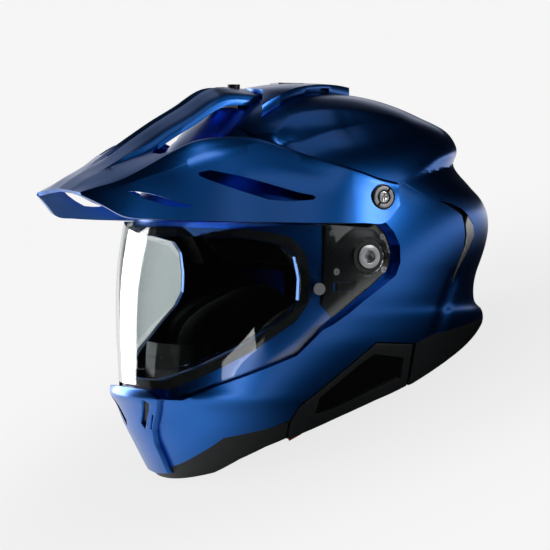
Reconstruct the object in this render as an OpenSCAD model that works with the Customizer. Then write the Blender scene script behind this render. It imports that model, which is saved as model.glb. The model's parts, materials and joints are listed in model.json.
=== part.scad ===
// Dual sport helmet: moulded shell, long faceted peak, swinging face shield and lining.
// Worn frame: X to the wearer's left, -Y ahead, Z up, origin midway between the shield pivots.
// Every piece is drawn in the worn frame, then laid on its rim by on_table().

/* [Shell] */
// Half width of the shell at the shield pivots
shell_half = 127; // [121:1:131]
// Reach of the chin bar ahead of the pivots
shell_front = 147; // [144:1:152]
// Reach of the shell behind the pivots
shell_rear = 156; // [152:1:162]
// Height of the crown above the pivots
crown_h = 130; // [126:1:135]
// Drop of the chin below the pivots
chin_drop = 181; // [178:1:186]
// Thickness of the moulded shell
shell_wall = 4; // [3:0.5:4.5]
// Tilt of the helmet when it rests on its rim
rest_tilt = 25; // [24.5:0.5:25.5]
// Height of the pivots above the table at rest
rest_h = 109; // [108:0.5:110]

/* [Lining] */
// Thickness of the impact liner at the sides
liner_side_t = 33; // [30:1:36]
// Thickness of the impact liner at the front
liner_front_t = 40; // [37:1:43]
// Thickness of the impact liner behind
liner_rear_t = 39; // [36:1:43]
// Thickness of the impact liner over the crown
liner_top_t = 33; // [30:1:36]
// Thickness of the comfort padding
pad_t = 9; // [6:1:11]
// Thickness of a cheek pad
cheek_pad_t = 26; // [20:1:30]

/* [Peak] */
// Reach of the front lip of the peak ahead of the pivots
peak_reach = 204; // [198:1:210]
// Height of the two top arms above the crown
peak_rise = 1; // [0.5:0.5:3]
// Thickness of the peak moulding
peak_wall = 3; // [2.5:0.5:3.5]
// Diameter of the head of a peak screw
peak_screw_d = 19; // [16:0.5:21]
// Diameter of the shank of a peak screw
peak_shank_d = 6; // [5:0.5:7]

/* [Face shield] */
// Thickness of the face shield
shield_t = 2.5; // [2:0.1:3]
// Room between the shield and the floor of its recess
seat_gap = 4.5; // [4.2:0.1:5]
// Diameter of the pivot hub that the shield turns on
hub_d = 14; // [12:0.5:15]
// Diameter of the flange that keeps the shield on its hub
hub_flange_d = 18; // [17:0.5:20]
// Thickness of the anti-fog insert
insert_t = 1.2; // [1:0.1:1.4]

/* [Strap] */
// Width of the chin strap
strap_w = 24; // [20:1:26]
// Thickness of the chin strap
strap_t = 2.4; // [2:0.2:3]
// Thickness of the wire of a strap ring
ring_wire_d = 4; // [3:0.5:4.5]

/* [Hidden] */

// Running clearance between pieces that touch or move past each other
gap = 0.3;
// Clearance round a bore that a piece turns on
run_gap = 0.08;
// Overrun of every cut
over = 2;
// Rise of the nose cover off the shell
nose_rise = 5;
// Half width of the prisms that cut side-view outlines
prism_half = 1.5 * shell_half;
// Facets round the shell and round its inner faces
shell_columns = 32;
inner_columns = 20;
$fn = 32;

// Squareness of the level sections, ahead of and behind the pivots
front_square_share = 0.93;
rear_square_share = 0.89;

// Level sections of the outer skin: height, half width, front reach, rear reach
skin_shares = [
    [0.985, 0.22, 0.17, 0.20], [0.93, 0.46, 0.36, 0.44], [0.84, 0.645, 0.50, 0.63],
    [0.73, 0.775, 0.612, 0.80], [0.677, 0.82, 0.658, 0.824], [0.615, 0.86, 0.703, 0.833],
    [0.54, 0.90, 0.755, 0.82], [0.415, 0.945, 0.818, 0.89], [0.323, 0.965, 0.86, 0.965],
    [0.254, 0.977, 0.878, 0.994], [0.17, 0.988, 0.899, 1], [0.06, 0.997, 0.922, 0.98],
    [-0.017, 1, 0.933, 0.952], [-0.083, 1, 0.941, 0.917], [-0.155, 0.998, 0.948, 0.90],
    [-0.21, 0.993, 0.953, 0.91], [-0.25, 0.99, 0.957, 0.96], [-0.287, 0.985, 0.961, 0.968],
    [-0.354, 0.975, 0.967, 0.925], [-0.45, 0.95, 0.978, 0.88], [-0.55, 0.918, 0.992, 0.82],
    [-0.60, 0.90, 1, 0.79], [-0.65, 0.88, 0.965, 0.76], [-0.75, 0.83, 0.918, 0.68],
    [-0.87, 0.755, 0.845, 0.60], [-1, 0.66, 0.76, 0.50], [-1.12, 0.58, 0.69, 0.42]
];

// Level sections of the smooth inner body, which the spoiler and the neck groove don't follow
smooth_shares = [
    [0.985, 0.22, 0.17, 0.20], [0.93, 0.46, 0.36, 0.43], [0.84, 0.645, 0.50, 0.60],
    [0.71, 0.79, 0.63, 0.735], [0.54, 0.90, 0.755, 0.80], [0.32, 0.965, 0.86, 0.86],
    [0.1, 0.995, 0.915, 0.885], [-0.12, 1, 0.945, 0.885], [-0.33, 0.98, 0.965, 0.87],
    [-0.5, 0.935, 0.985, 0.83], [-0.6, 0.90, 1, 0.785], [-0.7, 0.855, 0.94, 0.72],
    [-0.87, 0.755, 0.845, 0.60], [-1.12, 0.58, 0.69, 0.42]
];

// Level sections of the face shield
shield_shares = [
    [0.75, 0.72, 0.60, 0.64], [0.6, 0.84, 0.74, 0.78], [0.45, 0.90, 0.86, 0.86],
    [0.2, 0.955, 0.942, 0.90], [0.08, 0.966, 0.962, 0.92],
    [-0.088, 0.972, 0.985, 0.92], [-0.27, 0.962, 0.992, 0.90], [-0.403, 0.942, 0.988, 0.88],
    [-0.52, 0.91, 0.983, 0.86], [-0.61, 0.88, 0.98, 0.84], [-0.7, 0.84, 0.96, 0.8]
];

// Hollow for the head: what the liner leaves free inside the shell
cavity_half = shell_half - shell_wall - liner_side_t;
cavity_front = shell_front - shell_wall - liner_front_t;
cavity_rear = shell_rear - shell_wall - liner_rear_t;
cavity_top = crown_h - shell_wall - liner_top_t;

// Level sections of that hollow, as shares of its own sizes
cavity_shares = [
    [0.97, 0.30, 0.28, 0.30], [0.88, 0.56, 0.54, 0.56], [0.72, 0.77, 0.76, 0.77],
    [0.5, 0.91, 0.90, 0.92], [0.25, 0.98, 0.97, 0.99], [0, 1, 1, 1], [-0.5, 0.97, 1.02, 0.95],
    [-1, 0.92, 1.04, 0.90], [-1.5, 0.88, 1.06, 0.87], [-2.4, 0.86, 1.06, 0.86]
];

function across(s) = s * shell_half;
function along(s) = s < 0 ? s * shell_front : s * shell_rear;
function up(s) = s < 0 ? s * chin_drop : s * crown_h;
function mix(ends, t) = ends[0] + (ends[1] - ends[0]) * t;
function side_points(shares) = [for (s = shares) [along(s[0]), up(s[1])]];
function turn_angle(i, n) = 360 * i / n;
function signed_pow(v, p) = sign(v) * pow(abs(v), p);

// Points of one level ring, anticlockwise from the front as seen from above
function level_ring(half, front, rear, z, columns) = [
    for (i = [0 : columns - 1])
        let (a = turn_angle(i, columns), ahead = cos(a) > 0)
        let (p = ahead ? front_square_share : rear_square_share)
        [half * signed_pow(sin(a), p), -(ahead ? front : rear) * signed_pow(cos(a), p), z]
];

// Rings of a body that lies inset below a table of level sections
function body_rings(table, inset, columns) = [
    for (row = table)
        let (z = up(row[0]), fall = row[0] > 0 ? 1 - inset / crown_h : 1)
        level_ring(max(across(row[1]) - inset, over), max(shell_front * row[2] - inset, over),
            max(shell_rear * row[3] - inset, over), z * fall, columns)
];

function cavity_rings(inset) = [
    for (row = cavity_shares)
        level_ring(max(cavity_half * row[1] - inset, over), max(cavity_front * row[2] - inset, over),
            max(cavity_rear * row[3] - inset, over),
            cavity_top * row[0] - (row[0] > 0 ? inset : 0), inner_columns)
];

// Closed solid through a stack of rings, listed from the top down
module ring_stack(rings, top, bottom) {
    n = len(rings[0]);
    last = len(rings) - 1;
    points = concat([top], [for (r = rings) each r], [bottom]);
    base = len(points) - 1;
    faces = concat(
        [for (i = [0 : n - 1]) [0, 1 + (i + 1) % n, 1 + i]],
        [for (j = [0 : last - 1], i = [0 : n - 1], half = [0, 1])
            let (a = 1 + j * n + i, b = 1 + j * n + (i + 1) % n)
            half == 0 ? [a, b, b + n] : [a, b + n, a + n]],
        [for (i = [0 : n - 1]) [base, 1 + last * n + i, 1 + last * n + (i + 1) % n]]
    );
    polyhedron(points = points, faces = faces, convexity = 10);
}

module table_body(table, inset, columns) {
    rings = body_rings(table, inset, columns);
    ring_stack(rings, [0, 0, crown_h - inset], [0, 0, rings[len(rings) - 1][0].z]);
}

module skin_body(inset) table_body(skin_shares, inset, shell_columns);
module smooth_body(inset) table_body(smooth_shares, inset, inner_columns);

module shield_body(inset) {
    rings = body_rings(shield_shares, inset, shell_columns);
    ring_stack(rings, [0, 0, rings[0][0].z], [0, 0, rings[len(rings) - 1][0].z]);
}

module cavity_body(inset) {
    rings = cavity_rings(inset);
    ring_stack(rings, [0, 0, cavity_top - inset], [0, 0, rings[len(rings) - 1][0].z]);
}

// X of a named surface at a place in side view
function side_x(p, kind) = kind == "skin" ? surface_x(skin_shares, p[0], p[1])
    : surface_x(shield_shares, p[0], p[1]);

// A side-view outline cut right across the helmet
module side_prism(outline, grow = 0)
    rotate([90, 0, 90]) translate([0, 0, -prism_half])
        linear_extrude(height = 2 * prism_half) offset(delta = grow) polygon(outline);

// A round-ended slot between two points
module slot(a, b, d) hull() {
    translate(a) sphere(d = d, $fn = 6);
    translate(b) sphere(d = d, $fn = 6);
}

// Panel on a curved side: a grid between an upper and a lower line in side view, with the face
// and the back each a depth below the surface that kind names
module ribbon(upper, lower, rows, face, back, kind = "skin") {
    n = len(upper);
    m = rows + 1;
    spots = [for (j = [0 : rows], i = [0 : n - 1]) upper[i] + (lower[i] - upper[i]) * j / rows];
    points = concat(
        [for (p = spots) [side_x(p, kind) - face, p[0], p[1]]],
        [for (p = spots) [side_x(p, kind) - back, p[0], p[1]]]);
    total = n * m;
    quads = concat(
        [for (j = [0 : rows - 1], i = [0 : n - 2]) let (a = j * n + i) [a, a + 1, a + n + 1, a + n]],
        [for (j = [0 : rows - 1], i = [0 : n - 2])
            [total + j * n + n + i, total + j * n + n + i + 1, total + j * n + i + 1, total + j * n + i]],
        [for (i = [0 : n - 2]) [i, total + i, total + i + 1, i + 1]],
        [for (i = [0 : n - 2]) let (a = rows * n + i) [a + 1, total + a + 1, total + a, a]],
        [for (j = [0 : rows - 1]) let (a = j * n) [a + n, total + a + n, total + a, a]],
        [for (j = [0 : rows - 1]) let (a = j * n + n - 1) [a, total + a, total + a + n, a + n]]);
    polyhedron(points = points, convexity = 8,
        faces = [for (q = quads, half = [0, 1]) half == 0 ? [q[0], q[2], q[1]] : [q[0], q[3], q[2]]]);
}

// Shift that brings the middle of the resting helmet over the origin
nose_level_share = 0.6;
rear_level_share = 0.254;
rear_reach_share = 0.994;
bench_shift = ((shell_front + nose_rise - shell_rear * rear_reach_share) * cos(rest_tilt)
    + (chin_drop * nose_level_share - crown_h * rear_level_share) * sin(rest_tilt)) / 2;

module on_table() translate([0, bench_shift, rest_h]) rotate([-rest_tilt, 0, 0]) children();

// What lies above the table, for pieces that are cut flat where they rest
module above_table() translate([-prism_half, -2 * peak_reach, 0])
    cube([2 * prism_half, 4 * peak_reach, 4 * crown_h]);

module both_sides() {
    children();
    mirror([1, 0, 0]) children();
}

// Outlines in side view, as shares of the shell's reaches and heights
belt_shares = [[0.84, -0.27], [0.371, -0.337], [0.277, -0.369], [0.039, -0.358],
    [-0.159, -0.491], [-0.345, -0.62], [-0.383, -0.684], [-0.48, -0.72], [-0.672, -0.763],
    [-0.759, -0.847], [-0.83, -0.93]];
rim_shares = [[1.2, -0.287], [0.92, -0.3], [0.741, -0.365], [0.531, -0.445], [0.28, -0.545],
    [0.069, -0.611], [-0.144, -0.684], [-0.344, -0.75], [-0.479, -0.801], [-0.581, -0.855],
    [-0.72, -0.955], [-0.8, -1], [-1.2, -1.02]];
eyeport_shares = [[-1.3, 0.13], [-0.6, 0.11], [-0.43, 0.07], [-0.375, 0], [-0.355, -0.09],
    [-0.36, -0.18], [-0.41, -0.24], [-0.6, -0.36], [-0.8, -0.47], [-0.9, -0.526], [-1.3, -0.546]];
recess_shares = [[-1.3, 0.24], [-0.52, 0.27], [-0.46, 0.4], [-0.38, 0.5], [-0.19, 0.5], [-0.06, 0.41],
    [0.01, 0.31], [0.07, 0.22], [0.13, 0.15], [0.165, 0.068], [0.167, -0.025], [0.14, -0.08],
    [0.04, -0.14], [-0.04, -0.185], [-0.11, -0.23], [-0.21, -0.285], [-0.26, -0.305],
    [-0.384, -0.412], [-0.554, -0.475], [-0.733, -0.54], [-0.87, -0.605], [-1.3, -0.605]];
shield_outline_shares = [[-1.3, 0.2], [-0.45, 0.2], [-0.26, 0.19], [-0.1, 0.178], [0.05, 0.16],
    [0.105, 0.1], [0.125, 0.02], [0.105, -0.05], [0.04, -0.1], [-0.08, -0.175], [-0.22, -0.262],
    [-0.262, -0.29], [-0.38, -0.398], [-0.55, -0.46], [-0.73, -0.525], [-0.86, -0.59],
    [-1.3, -0.592]];
plate_top_shares = [[0.137, 0.08], [0.11, 0.14], [0.07, 0.185], [0.02, 0.21], [-0.07, 0.205], [-0.15, 0.2],
    [-0.23, 0.195]];
plate_low_shares = [[0.135, -0.02], [0.1, -0.07], [0.04, -0.115], [-0.05, -0.17], [-0.12, -0.213],
    [-0.19, -0.25], [-0.249, -0.2]];
comms_top_shares = [[0.25, -0.372], [0.15, -0.37], [0.039, -0.364], [-0.05, -0.425], [-0.159, -0.497],
    [-0.25, -0.56], [-0.345, -0.626], [-0.38, -0.69]];
comms_low_shares = [[0.238, -0.552], [0.15, -0.582], [0.069, -0.607], [-0.03, -0.641], [-0.144, -0.68],
    [-0.23, -0.712], [-0.32, -0.745], [-0.38, -0.765]];
cover_top_shares = [[0.205, -0.43], [0.12, -0.42], [0.03, -0.41], [-0.05, -0.455], [-0.14, -0.515],
    [-0.25, -0.59]];
cover_low_shares = [[0.2, -0.515], [0.12, -0.54], [0.04, -0.565], [-0.07, -0.605], [-0.17, -0.64],
    [-0.262, -0.662]];
liner_shares = [[1.2, 1.2], [-1.2, 1.2], [-1.2, 0.17], [-0.62, 0.155], [-0.4, 0.11], [-0.34, 0.02],
    [-0.3, -0.05], [0.3, -0.09]];
chin_liner_shares = [[-1.2, -0.62], [-0.88, -0.61], [-0.75, -0.56], [-0.56, -0.5],
    [-0.56, -0.7], [-0.7, -0.76], [-0.82, -0.85], [-1.2, -0.88]];

// The belt line as a region above it
function belt_above() = side_points(concat([[1.2, -0.268]], belt_shares,
    [[-1.2, -0.97], [-1.2, 1.2], [1.2, 1.2]]));

// Path of the shield: what it sweeps as it opens, as a revolve about the pivots
path_top_share = 0.2;
path_start = -6;
path_stop = 53;
path_steps = 10;
path_reach = 1.3 * shell_front;

shield_widest_share = -0.088;
function shield_wide() = across(share_in(shield_shares, shield_widest_share, 1));
function shield_half(inset) = across(share_in(shield_shares, path_top_share, 1)) - inset;
function shield_reach(inset) = shell_front * share_in(shield_shares, path_top_share, 2) - inset;

// Radius of the shield's top edge about the pivots at a distance from the middle
function path_radius(x, inset) =
    let (s = min(abs(x) / shield_half(inset), 1))
    let (ahead = shield_reach(inset) * pow(1 - pow(s, 2 / front_square_share), front_square_share / 2))
    norm([ahead, up(path_top_share)]);

module shield_path(grow) {
    inset = shield_t + seat_gap + grow;
    wide = shield_wide();
    profile = concat(
        [for (i = [-path_steps : path_steps]) let (x = wide * i / path_steps)
            [path_radius(x, inset), x]],
        [[path_reach, prism_half], [path_reach, -prism_half]]
    );
    spread = grow * 180 / (PI * crown_h);
    rotate([0, 90, 0]) rotate([0, 0, -(90 + path_stop + spread)])
        rotate_extrude(angle = path_stop - path_start + 2 * spread, $fn = 60) polygon(profile);
}

// Body with the shield's recess and path taken out of it
module stepped_body(inset) {
    difference() {
        if (inset == 0) skin_body(0);
        else smooth_body(inset);
        side_prism(side_points(recess_shares), inset);
        shield_path(inset);
    }
    intersection() {
        shield_body(shield_t + seat_gap + inset);
        side_prism(side_points(recess_shares), inset + over);
    }
}

crown_slot_d = 5;
crown_slot_pitch_share = 0.16;
crown_slot_y_shares = [-0.14, -0.02];
exhaust_slot_y_shares = [0.62, 0.7];
exhaust_slot_x_shares = [0.5, 0.95];
exhaust_slot_z_share = 0.2;

// Air inlets under the crown fairing and outlets above the neck
module shell_vents() {
    for (i = [-1.5 : 1 : 1.5])
        slot([across(i * crown_slot_pitch_share), along(crown_slot_y_shares[0]), crown_h],
            [across(i * crown_slot_pitch_share), along(crown_slot_y_shares[1]), crown_h], crown_slot_d);
    both_sides() for (i = [0 : 1])
        slot([across(exhaust_slot_x_shares[0]), along(exhaust_slot_y_shares[i]), up(exhaust_slot_z_share)],
            [across(exhaust_slot_x_shares[1]), along(exhaust_slot_y_shares[i]), up(exhaust_slot_z_share)],
            crown_slot_d);
}

module outer_shell() color("steelblue") on_table() difference() {
    intersection() {
        difference() {
            stepped_body(0);
            stepped_body(shell_wall);
        }
        side_prism(belt_above(), -gap / 2);
    }
    side_prism(side_points(eyeport_shares));
    shell_vents();
    peak_screw_bores();
    rear_vent_pocket();
    chin_vent_window();
}

function share_in(table, level, column) = lookup(level, [for (row = table) [row[0], row[column]]]);
function share_at(level, column) = share_in(skin_shares, level, column);

// Half width of a body at a place in side view
function surface_x(table, y, z) =
    let (level = z < 0 ? z / chin_drop : z / crown_h)
    let (p = y < 0 ? front_square_share : rear_square_share)
    let (reach = y < 0 ? shell_front * share_in(table, level, 2) : shell_rear * share_in(table, level, 3))
    across(share_in(table, level, 1)) * pow(max(1 - pow(abs(y) / reach, 2 / p), 0), p / 2);
function skin_x(y, z) = surface_x(skin_shares, y, z);

// Impact liners
liner_edge = 3;
channel_d = 10;
channel_pitch_share = 0.3;
channel_line_shares = [[-0.75, 0.55], [-0.25, 0.96], [0.35, 0.96], [0.8, 0.5]];

module liner_channels()
    for (i = [-1.5 : 1 : 1.5], j = [0 : len(channel_line_shares) - 2])
        let (a = channel_line_shares[j], b = channel_line_shares[j + 1])
        let (x = i * channel_pitch_share * cavity_half)
        slot([x, a[0] * cavity_rear, a[1] * cavity_top], [x, b[0] * cavity_rear, b[1] * cavity_top],
            channel_d);

// Height in the worn frame of a level line above the table
function level_z(y, lift) = (lift - rest_h + y * sin(rest_tilt)) / cos(rest_tilt);

// The liner ends level, just above the neck roll
liner_end_y_shares = [0.3, 1.2];
function liner_points() = concat(side_points(liner_shares),
    [for (s = liner_end_y_shares) [along(s), level_z(along(s), roll_lift + roll_d / 2 + gap)]]);

module impact_liner() color("dimgray") on_table() difference() {
    intersection() {
        stepped_body(shell_wall + gap);
        side_prism(liner_points());
    }
    cavity_body(0);
    side_prism(side_points(eyeport_shares), liner_edge);
    liner_channels();
    peak_screw_bores();
}

chin_liner_t = 17;
chin_slot_d = 5;
chin_slot_level_shares = [-0.72, -0.8];

module chin_impact_liner() color("dimgray") on_table() difference() {
    intersection() {
        difference() {
            stepped_body(shell_wall + gap);
            smooth_body(shell_wall + gap + chin_liner_t);
        }
        side_prism(side_points(chin_liner_shares), -gap);
    }
    for (i = [-3.5 : 1 : 3.5])
        slot([i * 2 * chin_slot_d, -shell_front, up(chin_slot_level_shares[0])],
            [i * 2 * chin_slot_d, -shell_front, up(chin_slot_level_shares[1])], chin_slot_d);
    chin_vent_window();
    shutter_place() translate([-shutter_w / 2 - gap, 0, -shutter_h - shutter_travel - gap])
        cube([shutter_w + 2 * gap, chin_liner_t, shutter_h + shutter_travel + 2 * gap]);
}

// Floor of the pocket that the vent shutter slides in, on the inner face of the chin liner
shutter_level_share = -0.65;
shutter_sink = 2.6;
module shutter_place()
    translate([0, shell_wall + chin_liner_t - shutter_sink - shell_front * share_at(shutter_level_share, 2),
        up(shutter_level_share)])
        rotate([rest_tilt, 0, 0]) children();

// Cheek pads and the blocks behind them: both follow one tilted oval in side view
cheek_y_share = -0.13;
cheek_z_share = -0.385;
cheek_length = 112;
cheek_height = 78;
cheek_square_share = 0.75;
cheek_sink = 6;
strap_slot = 4;
cheek_back = cavity_half - cheek_sink;
cheek_face = cheek_back - strap_slot - cheek_pad_t;
cheek_seams = 10;
cheek_seam_share = 0.55;
cheek_level_shares = [[0, 0.93], [0.12, 1], [0.5, 1], [0.8, 0.92], [0.95, 0.76], [1, 0.4]];

function oval(length, height, n) = [
    for (i = [0 : n - 1]) let (a = turn_angle(i, n))
        [length / 2 * signed_pow(cos(a), cheek_square_share),
            height / 2 * signed_pow(sin(a), cheek_square_share)]
];

module cheek_place()
    translate([0, along(cheek_y_share), up(cheek_z_share)]) rotate([rest_tilt, 0, 0]) children();

module cheek_core_left() color("dimgray") on_table() difference() {
    intersection() {
        stepped_body(shell_wall + gap);
        cheek_place() rotate([90, 0, 90]) translate([0, 0, cheek_back])
            linear_extrude(height = shell_half) polygon(oval(cheek_length, cheek_height, inner_columns));
    }
    for (i = [-3.5 : 1 : 3.5])
        cheek_place()
            slot([cheek_back, i * channel_d, -channel_d], [cheek_back, i * channel_d, channel_d], strap_slot);
    anchor_place() cylinder(d = anchor_d + 2 * gap, h = anchor_t + gap);
}

// Padded cushion: ovals that draw in towards the crown of its face
module cheek_pad_left() color([0.09, 0.1, 0.11]) on_table() cheek_place() {
    outline = oval(cheek_length - 4 * gap, cheek_height - 4 * gap, inner_columns);
    back = cheek_back - strap_slot;
    rings = [for (s = cheek_level_shares) [for (p = outline)
        [back - (back - cheek_face) * s[0], p[0] * s[1], p[1] * s[1]]]];
    difference() {
        ring_stack(rings, [back, 0, 0], [cheek_face, 0, 0]);
        for (i = [0 : cheek_seams - 1])
            let (line = oval(cheek_seam_share * cheek_length, cheek_seam_share * cheek_height, cheek_seams))
            slot([cheek_face, each line[i]], [cheek_face, each line[(i + 1) % cheek_seams]], strap_slot);
    }
}

module cheek_core_right() mirror([1, 0, 0]) cheek_core_left();
module cheek_pad_right() mirror([1, 0, 0]) cheek_pad_left();

// Crown pad: quilted layer inside the liner, with a channel each side of the middle
pad_front_shares = [[-1.2, 0.2], [-0.62, 0.19], [-0.36, 0.1], [-0.2, -0.03], [0.5, -0.1],
    [0.62, -0.22], [1.2, -0.2], [1.2, 1.2], [-1.2, 1.2]];
pad_channel_d = 8;
pad_channel_x_share = 0.3;
pad_channel_start_angle = 15;
pad_channel_step_angle = 25;

module crown_pad() color([0.11, 0.12, 0.13]) on_table() difference() {
    intersection() {
        cavity_body(gap);
        side_prism(side_points(pad_front_shares));
    }
    cavity_body(gap + pad_t);
    for (i = [-1, 1], j = [0 : 5])
        let (a = pad_channel_start_angle + pad_channel_step_angle * j, b = a + pad_channel_step_angle)
        let (r = cavity_top - pad_t, x = i * pad_channel_x_share * cavity_half)
        slot([x, -r * cos(a), r * sin(a)], [x, -r * cos(b), r * sin(b)], pad_channel_d);
}

// Neck roll: round section that follows the inside of the rim behind
roll_d = 19;
roll_rings = 16;
roll_start_angle = 110;
roll_sweep_angle = 140;
rim_ahead_share = 0.75;
rim_behind_share = 0.9;
roll_lift = 15;
roll_inset = 14;
roll_sides = 10;

// A place round the inside of the rim: angle from the front, inset from the skin, lift off the table
function rim_place(a, inset, lift) =
    let (p = cos(a) > 0 ? front_square_share : rear_square_share)
    let (y_guess = -cos(a) * (cos(a) > 0 ? rim_ahead_share * shell_front : rim_behind_share * shell_rear))
    let (level = level_z(y_guess, lift) / chin_drop)
    let (half = across(share_in(smooth_shares, level, 1)) - inset)
    let (reach = (cos(a) > 0 ? shell_front * share_in(smooth_shares, level, 2)
        : shell_rear * share_in(smooth_shares, level, 3)) - inset)
    let (y = -reach * signed_pow(cos(a), p))
    [half * signed_pow(sin(a), p), y, level_z(y, lift)];

// Round bar through a list of centres, square to the path seen from above
module bar(path, d, sides, shut) {
    n = len(path);
    rings = [for (i = [0 : n - 1])
        let (before = path[shut ? (i + n - 1) % n : max(i - 1, 0)])
        let (after = path[shut ? (i + 1) % n : min(i + 1, n - 1)])
        let (way = (after - before) / norm(after - before))
        let (flat = cross(way, [0, -sin(rest_tilt), cos(rest_tilt)]), out = flat / norm(flat))
        let (rise = cross(out, way))
        [for (k = [0 : sides - 1]) let (a = turn_angle(k, sides))
            path[i] + d / 2 * (out * cos(a) + rise * sin(a))]];
    points = concat([for (r = rings) each r], shut ? [] : [path[0], path[n - 1]]);
    spans = shut ? n : n - 1;
    walls = [for (j = [0 : spans - 1], k = [0 : sides - 1], half = [0, 1])
        let (a = j * sides + k, b = j * sides + (k + 1) % sides)
        let (c = ((j + 1) % n) * sides + (k + 1) % sides, e = ((j + 1) % n) * sides + k)
        half == 0 ? [a, b, c] : [a, c, e]];
    ends = shut ? [] : concat(
        [for (k = [0 : sides - 1]) [n * sides, (k + 1) % sides, k]],
        [for (k = [0 : sides - 1]) [n * sides + 1, (n - 1) * sides + k, (n - 1) * sides + (k + 1) % sides]]);
    polyhedron(points = points, faces = concat(walls, ends), convexity = 8);
}

module neck_roll() color([0.1, 0.1, 0.11]) on_table()
    bar([for (i = [0 : roll_rings])
        rim_place(roll_start_angle + roll_sweep_angle * i / roll_rings, roll_inset + roll_d / 2, roll_lift)],
        roll_d, roll_sides, false);

seal_d = 4;
seal_sides = 6;
seal_rings = 40;
seal_inset = 1.4 * seal_d;

module rim_seal() color([0.16, 0.17, 0.18]) on_table()
    bar([for (i = [0 : seal_rings - 1])
        rim_place(turn_angle(i, seal_rings), trim_t + seal_inset, 2 * seal_d)],
        seal_d, seal_sides, true);

// Cloth curtain across the opening under the chin
curtain_t = 1.5;
curtain_lift = 10;
curtain_clear = 18;
curtain_half = cheek_back - strap_slot - over - curtain_clear;
curtain_arc_r = 130;
curtain_reach = 82;
curtain_seam_pitch_share = 0.1;
curtain_seam_reach_shares = [1.3, 0.76];

module chin_curtain() color([0.08, 0.08, 0.09]) difference() {
    intersection() {
        on_table() smooth_body(trim_t + 2 * gap + seal_d);
        translate([-curtain_half, bench_shift - peak_reach, curtain_lift])
            cube([2 * curtain_half, peak_reach, curtain_t]);
    }
    translate([0, curtain_arc_r - curtain_reach, 0]) cylinder(r = curtain_arc_r, h = 2 * curtain_lift);
    for (i = [-4 : 4])
        let (x = across(curtain_seam_pitch_share * i), ends = curtain_seam_reach_shares * peak_reach)
        slot([x, bench_shift - ends[0], curtain_lift], [x, bench_shift - ends[1], curtain_lift], over);
}

guard_t = 2;
guard_half_share = 0.33;
guard_inset = shell_wall + chin_liner_t + 2 * gap;
guard_low_share = -0.60;
guard_high_share = -0.38;
guard_slot_share = -0.44;
guard_slot_pitch_share = 0.06;

module breath_guard() color([0.07, 0.08, 0.09]) on_table() difference() {
    intersection() {
        smooth_body(guard_inset);
        translate([-across(guard_half_share), -shell_front, up(guard_low_share)])
            cube([2 * across(guard_half_share), shell_front, up(guard_high_share) - up(guard_low_share)]);
    }
    smooth_body(guard_inset + guard_t);
    for (i = [-4 : 4])
        slot([across(guard_slot_pitch_share * i), -shell_front, up(guard_slot_share)],
            [across(guard_slot_pitch_share * i), -shell_front / 2, up(guard_slot_share)], guard_t);
}

gasket_w = 7;
gasket_slot_pitch_share = 0.15;
gasket_slot_z_share = 0.18;

module eyeport_gasket() color([0.05, 0.05, 0.06]) on_table() difference() {
    intersection() {
        shield_body(shield_t + insert_t + 2 * gap);
        side_prism(side_points(eyeport_shares), gasket_w);
    }
    shield_body(shield_t + seat_gap - gap);
    side_prism(side_points(eyeport_shares), gap);
    for (i = [-4 : 4])
        slot([across(gasket_slot_pitch_share * i), -shell_front, up(gasket_slot_z_share)],
            [across(gasket_slot_pitch_share * i), -shell_front / 2, up(gasket_slot_z_share)], insert_t);
}

// Black trims along the rim: skins that close the shell below the belt line
trim_t = shell_wall;

module trim_skin(outline) difference() {
    intersection() {
        skin_body(0);
        side_prism(outline, -gap / 2);
    }
    smooth_body(trim_t);
}

base_start_shares = [[1.2, -0.268], [0.84, -0.27], [0.371, -0.337], [0.277, -0.369], [0.26, -0.55]];
clip_x_shares = [0.7, 1.1];
clip_from_shares = [0.3, -0.5];
clip_step_shares = [0.1, 0.05];

module base_trim() color([0.13, 0.15, 0.16]) difference() {
    intersection() {
        on_table() trim_skin(side_points(concat(base_start_shares, [for (i = [4 : -1 : 0]) rim_shares[i]])));
        above_table();
    }
    on_table() both_sides() for (i = [0 : 4])
        let (y = along(clip_from_shares[0] + clip_step_shares[0] * i))
        let (z = up(clip_from_shares[1] + clip_step_shares[1] * i))
        slot([across(clip_x_shares[0]), y, z], [across(clip_x_shares[1]), y, z], over);
}

chin_start_shares = [[-0.39, -0.69], [-0.48, -0.72], [-0.672, -0.763], [-0.759, -0.847],
    [-0.83, -0.93], [-1.2, -0.97]];
chin_end_shares = [[-0.39, -0.765]];
drain_pitch_share = 0.08;
drain_y_share = -0.66;
drain_top_share = -0.9;

module chin_trim() color([0.11, 0.13, 0.14]) difference() {
    intersection() {
        on_table() trim_skin(side_points(concat(chin_start_shares,
            [for (i = [len(rim_shares) - 1 : -1 : 8]) rim_shares[i]], chin_end_shares)));
        above_table();
    }
    on_table() for (i = [-4 : 4])
        slot([across(drain_pitch_share * i), along(drain_y_share), -chin_drop],
            [across(drain_pitch_share * i), along(drain_y_share), up(drain_top_share)], over);
}

// Angular bays for the comms unit, with a hollow cover in each
comms_proud = 1.5;
cover_t = 1.6;
cover_depth = 2.4;

module comms_bay_left() color([0.12, 0.14, 0.15]) on_table() difference() {
    ribbon(side_points(comms_top_shares), side_points(comms_low_shares), 3, -comms_proud, trim_t);
    ribbon(side_points(cover_top_shares), side_points(cover_low_shares), 2, -comms_proud - over, cover_depth);
}

module comms_cover_left() color([0.03, 0.03, 0.04]) on_table()
    ribbon(inset_line(side_points(cover_top_shares), side_points(cover_low_shares), gap),
        inset_line(side_points(cover_low_shares), side_points(cover_top_shares), gap),
        4, cover_depth - cover_t - gap, cover_depth - gap);

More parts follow.
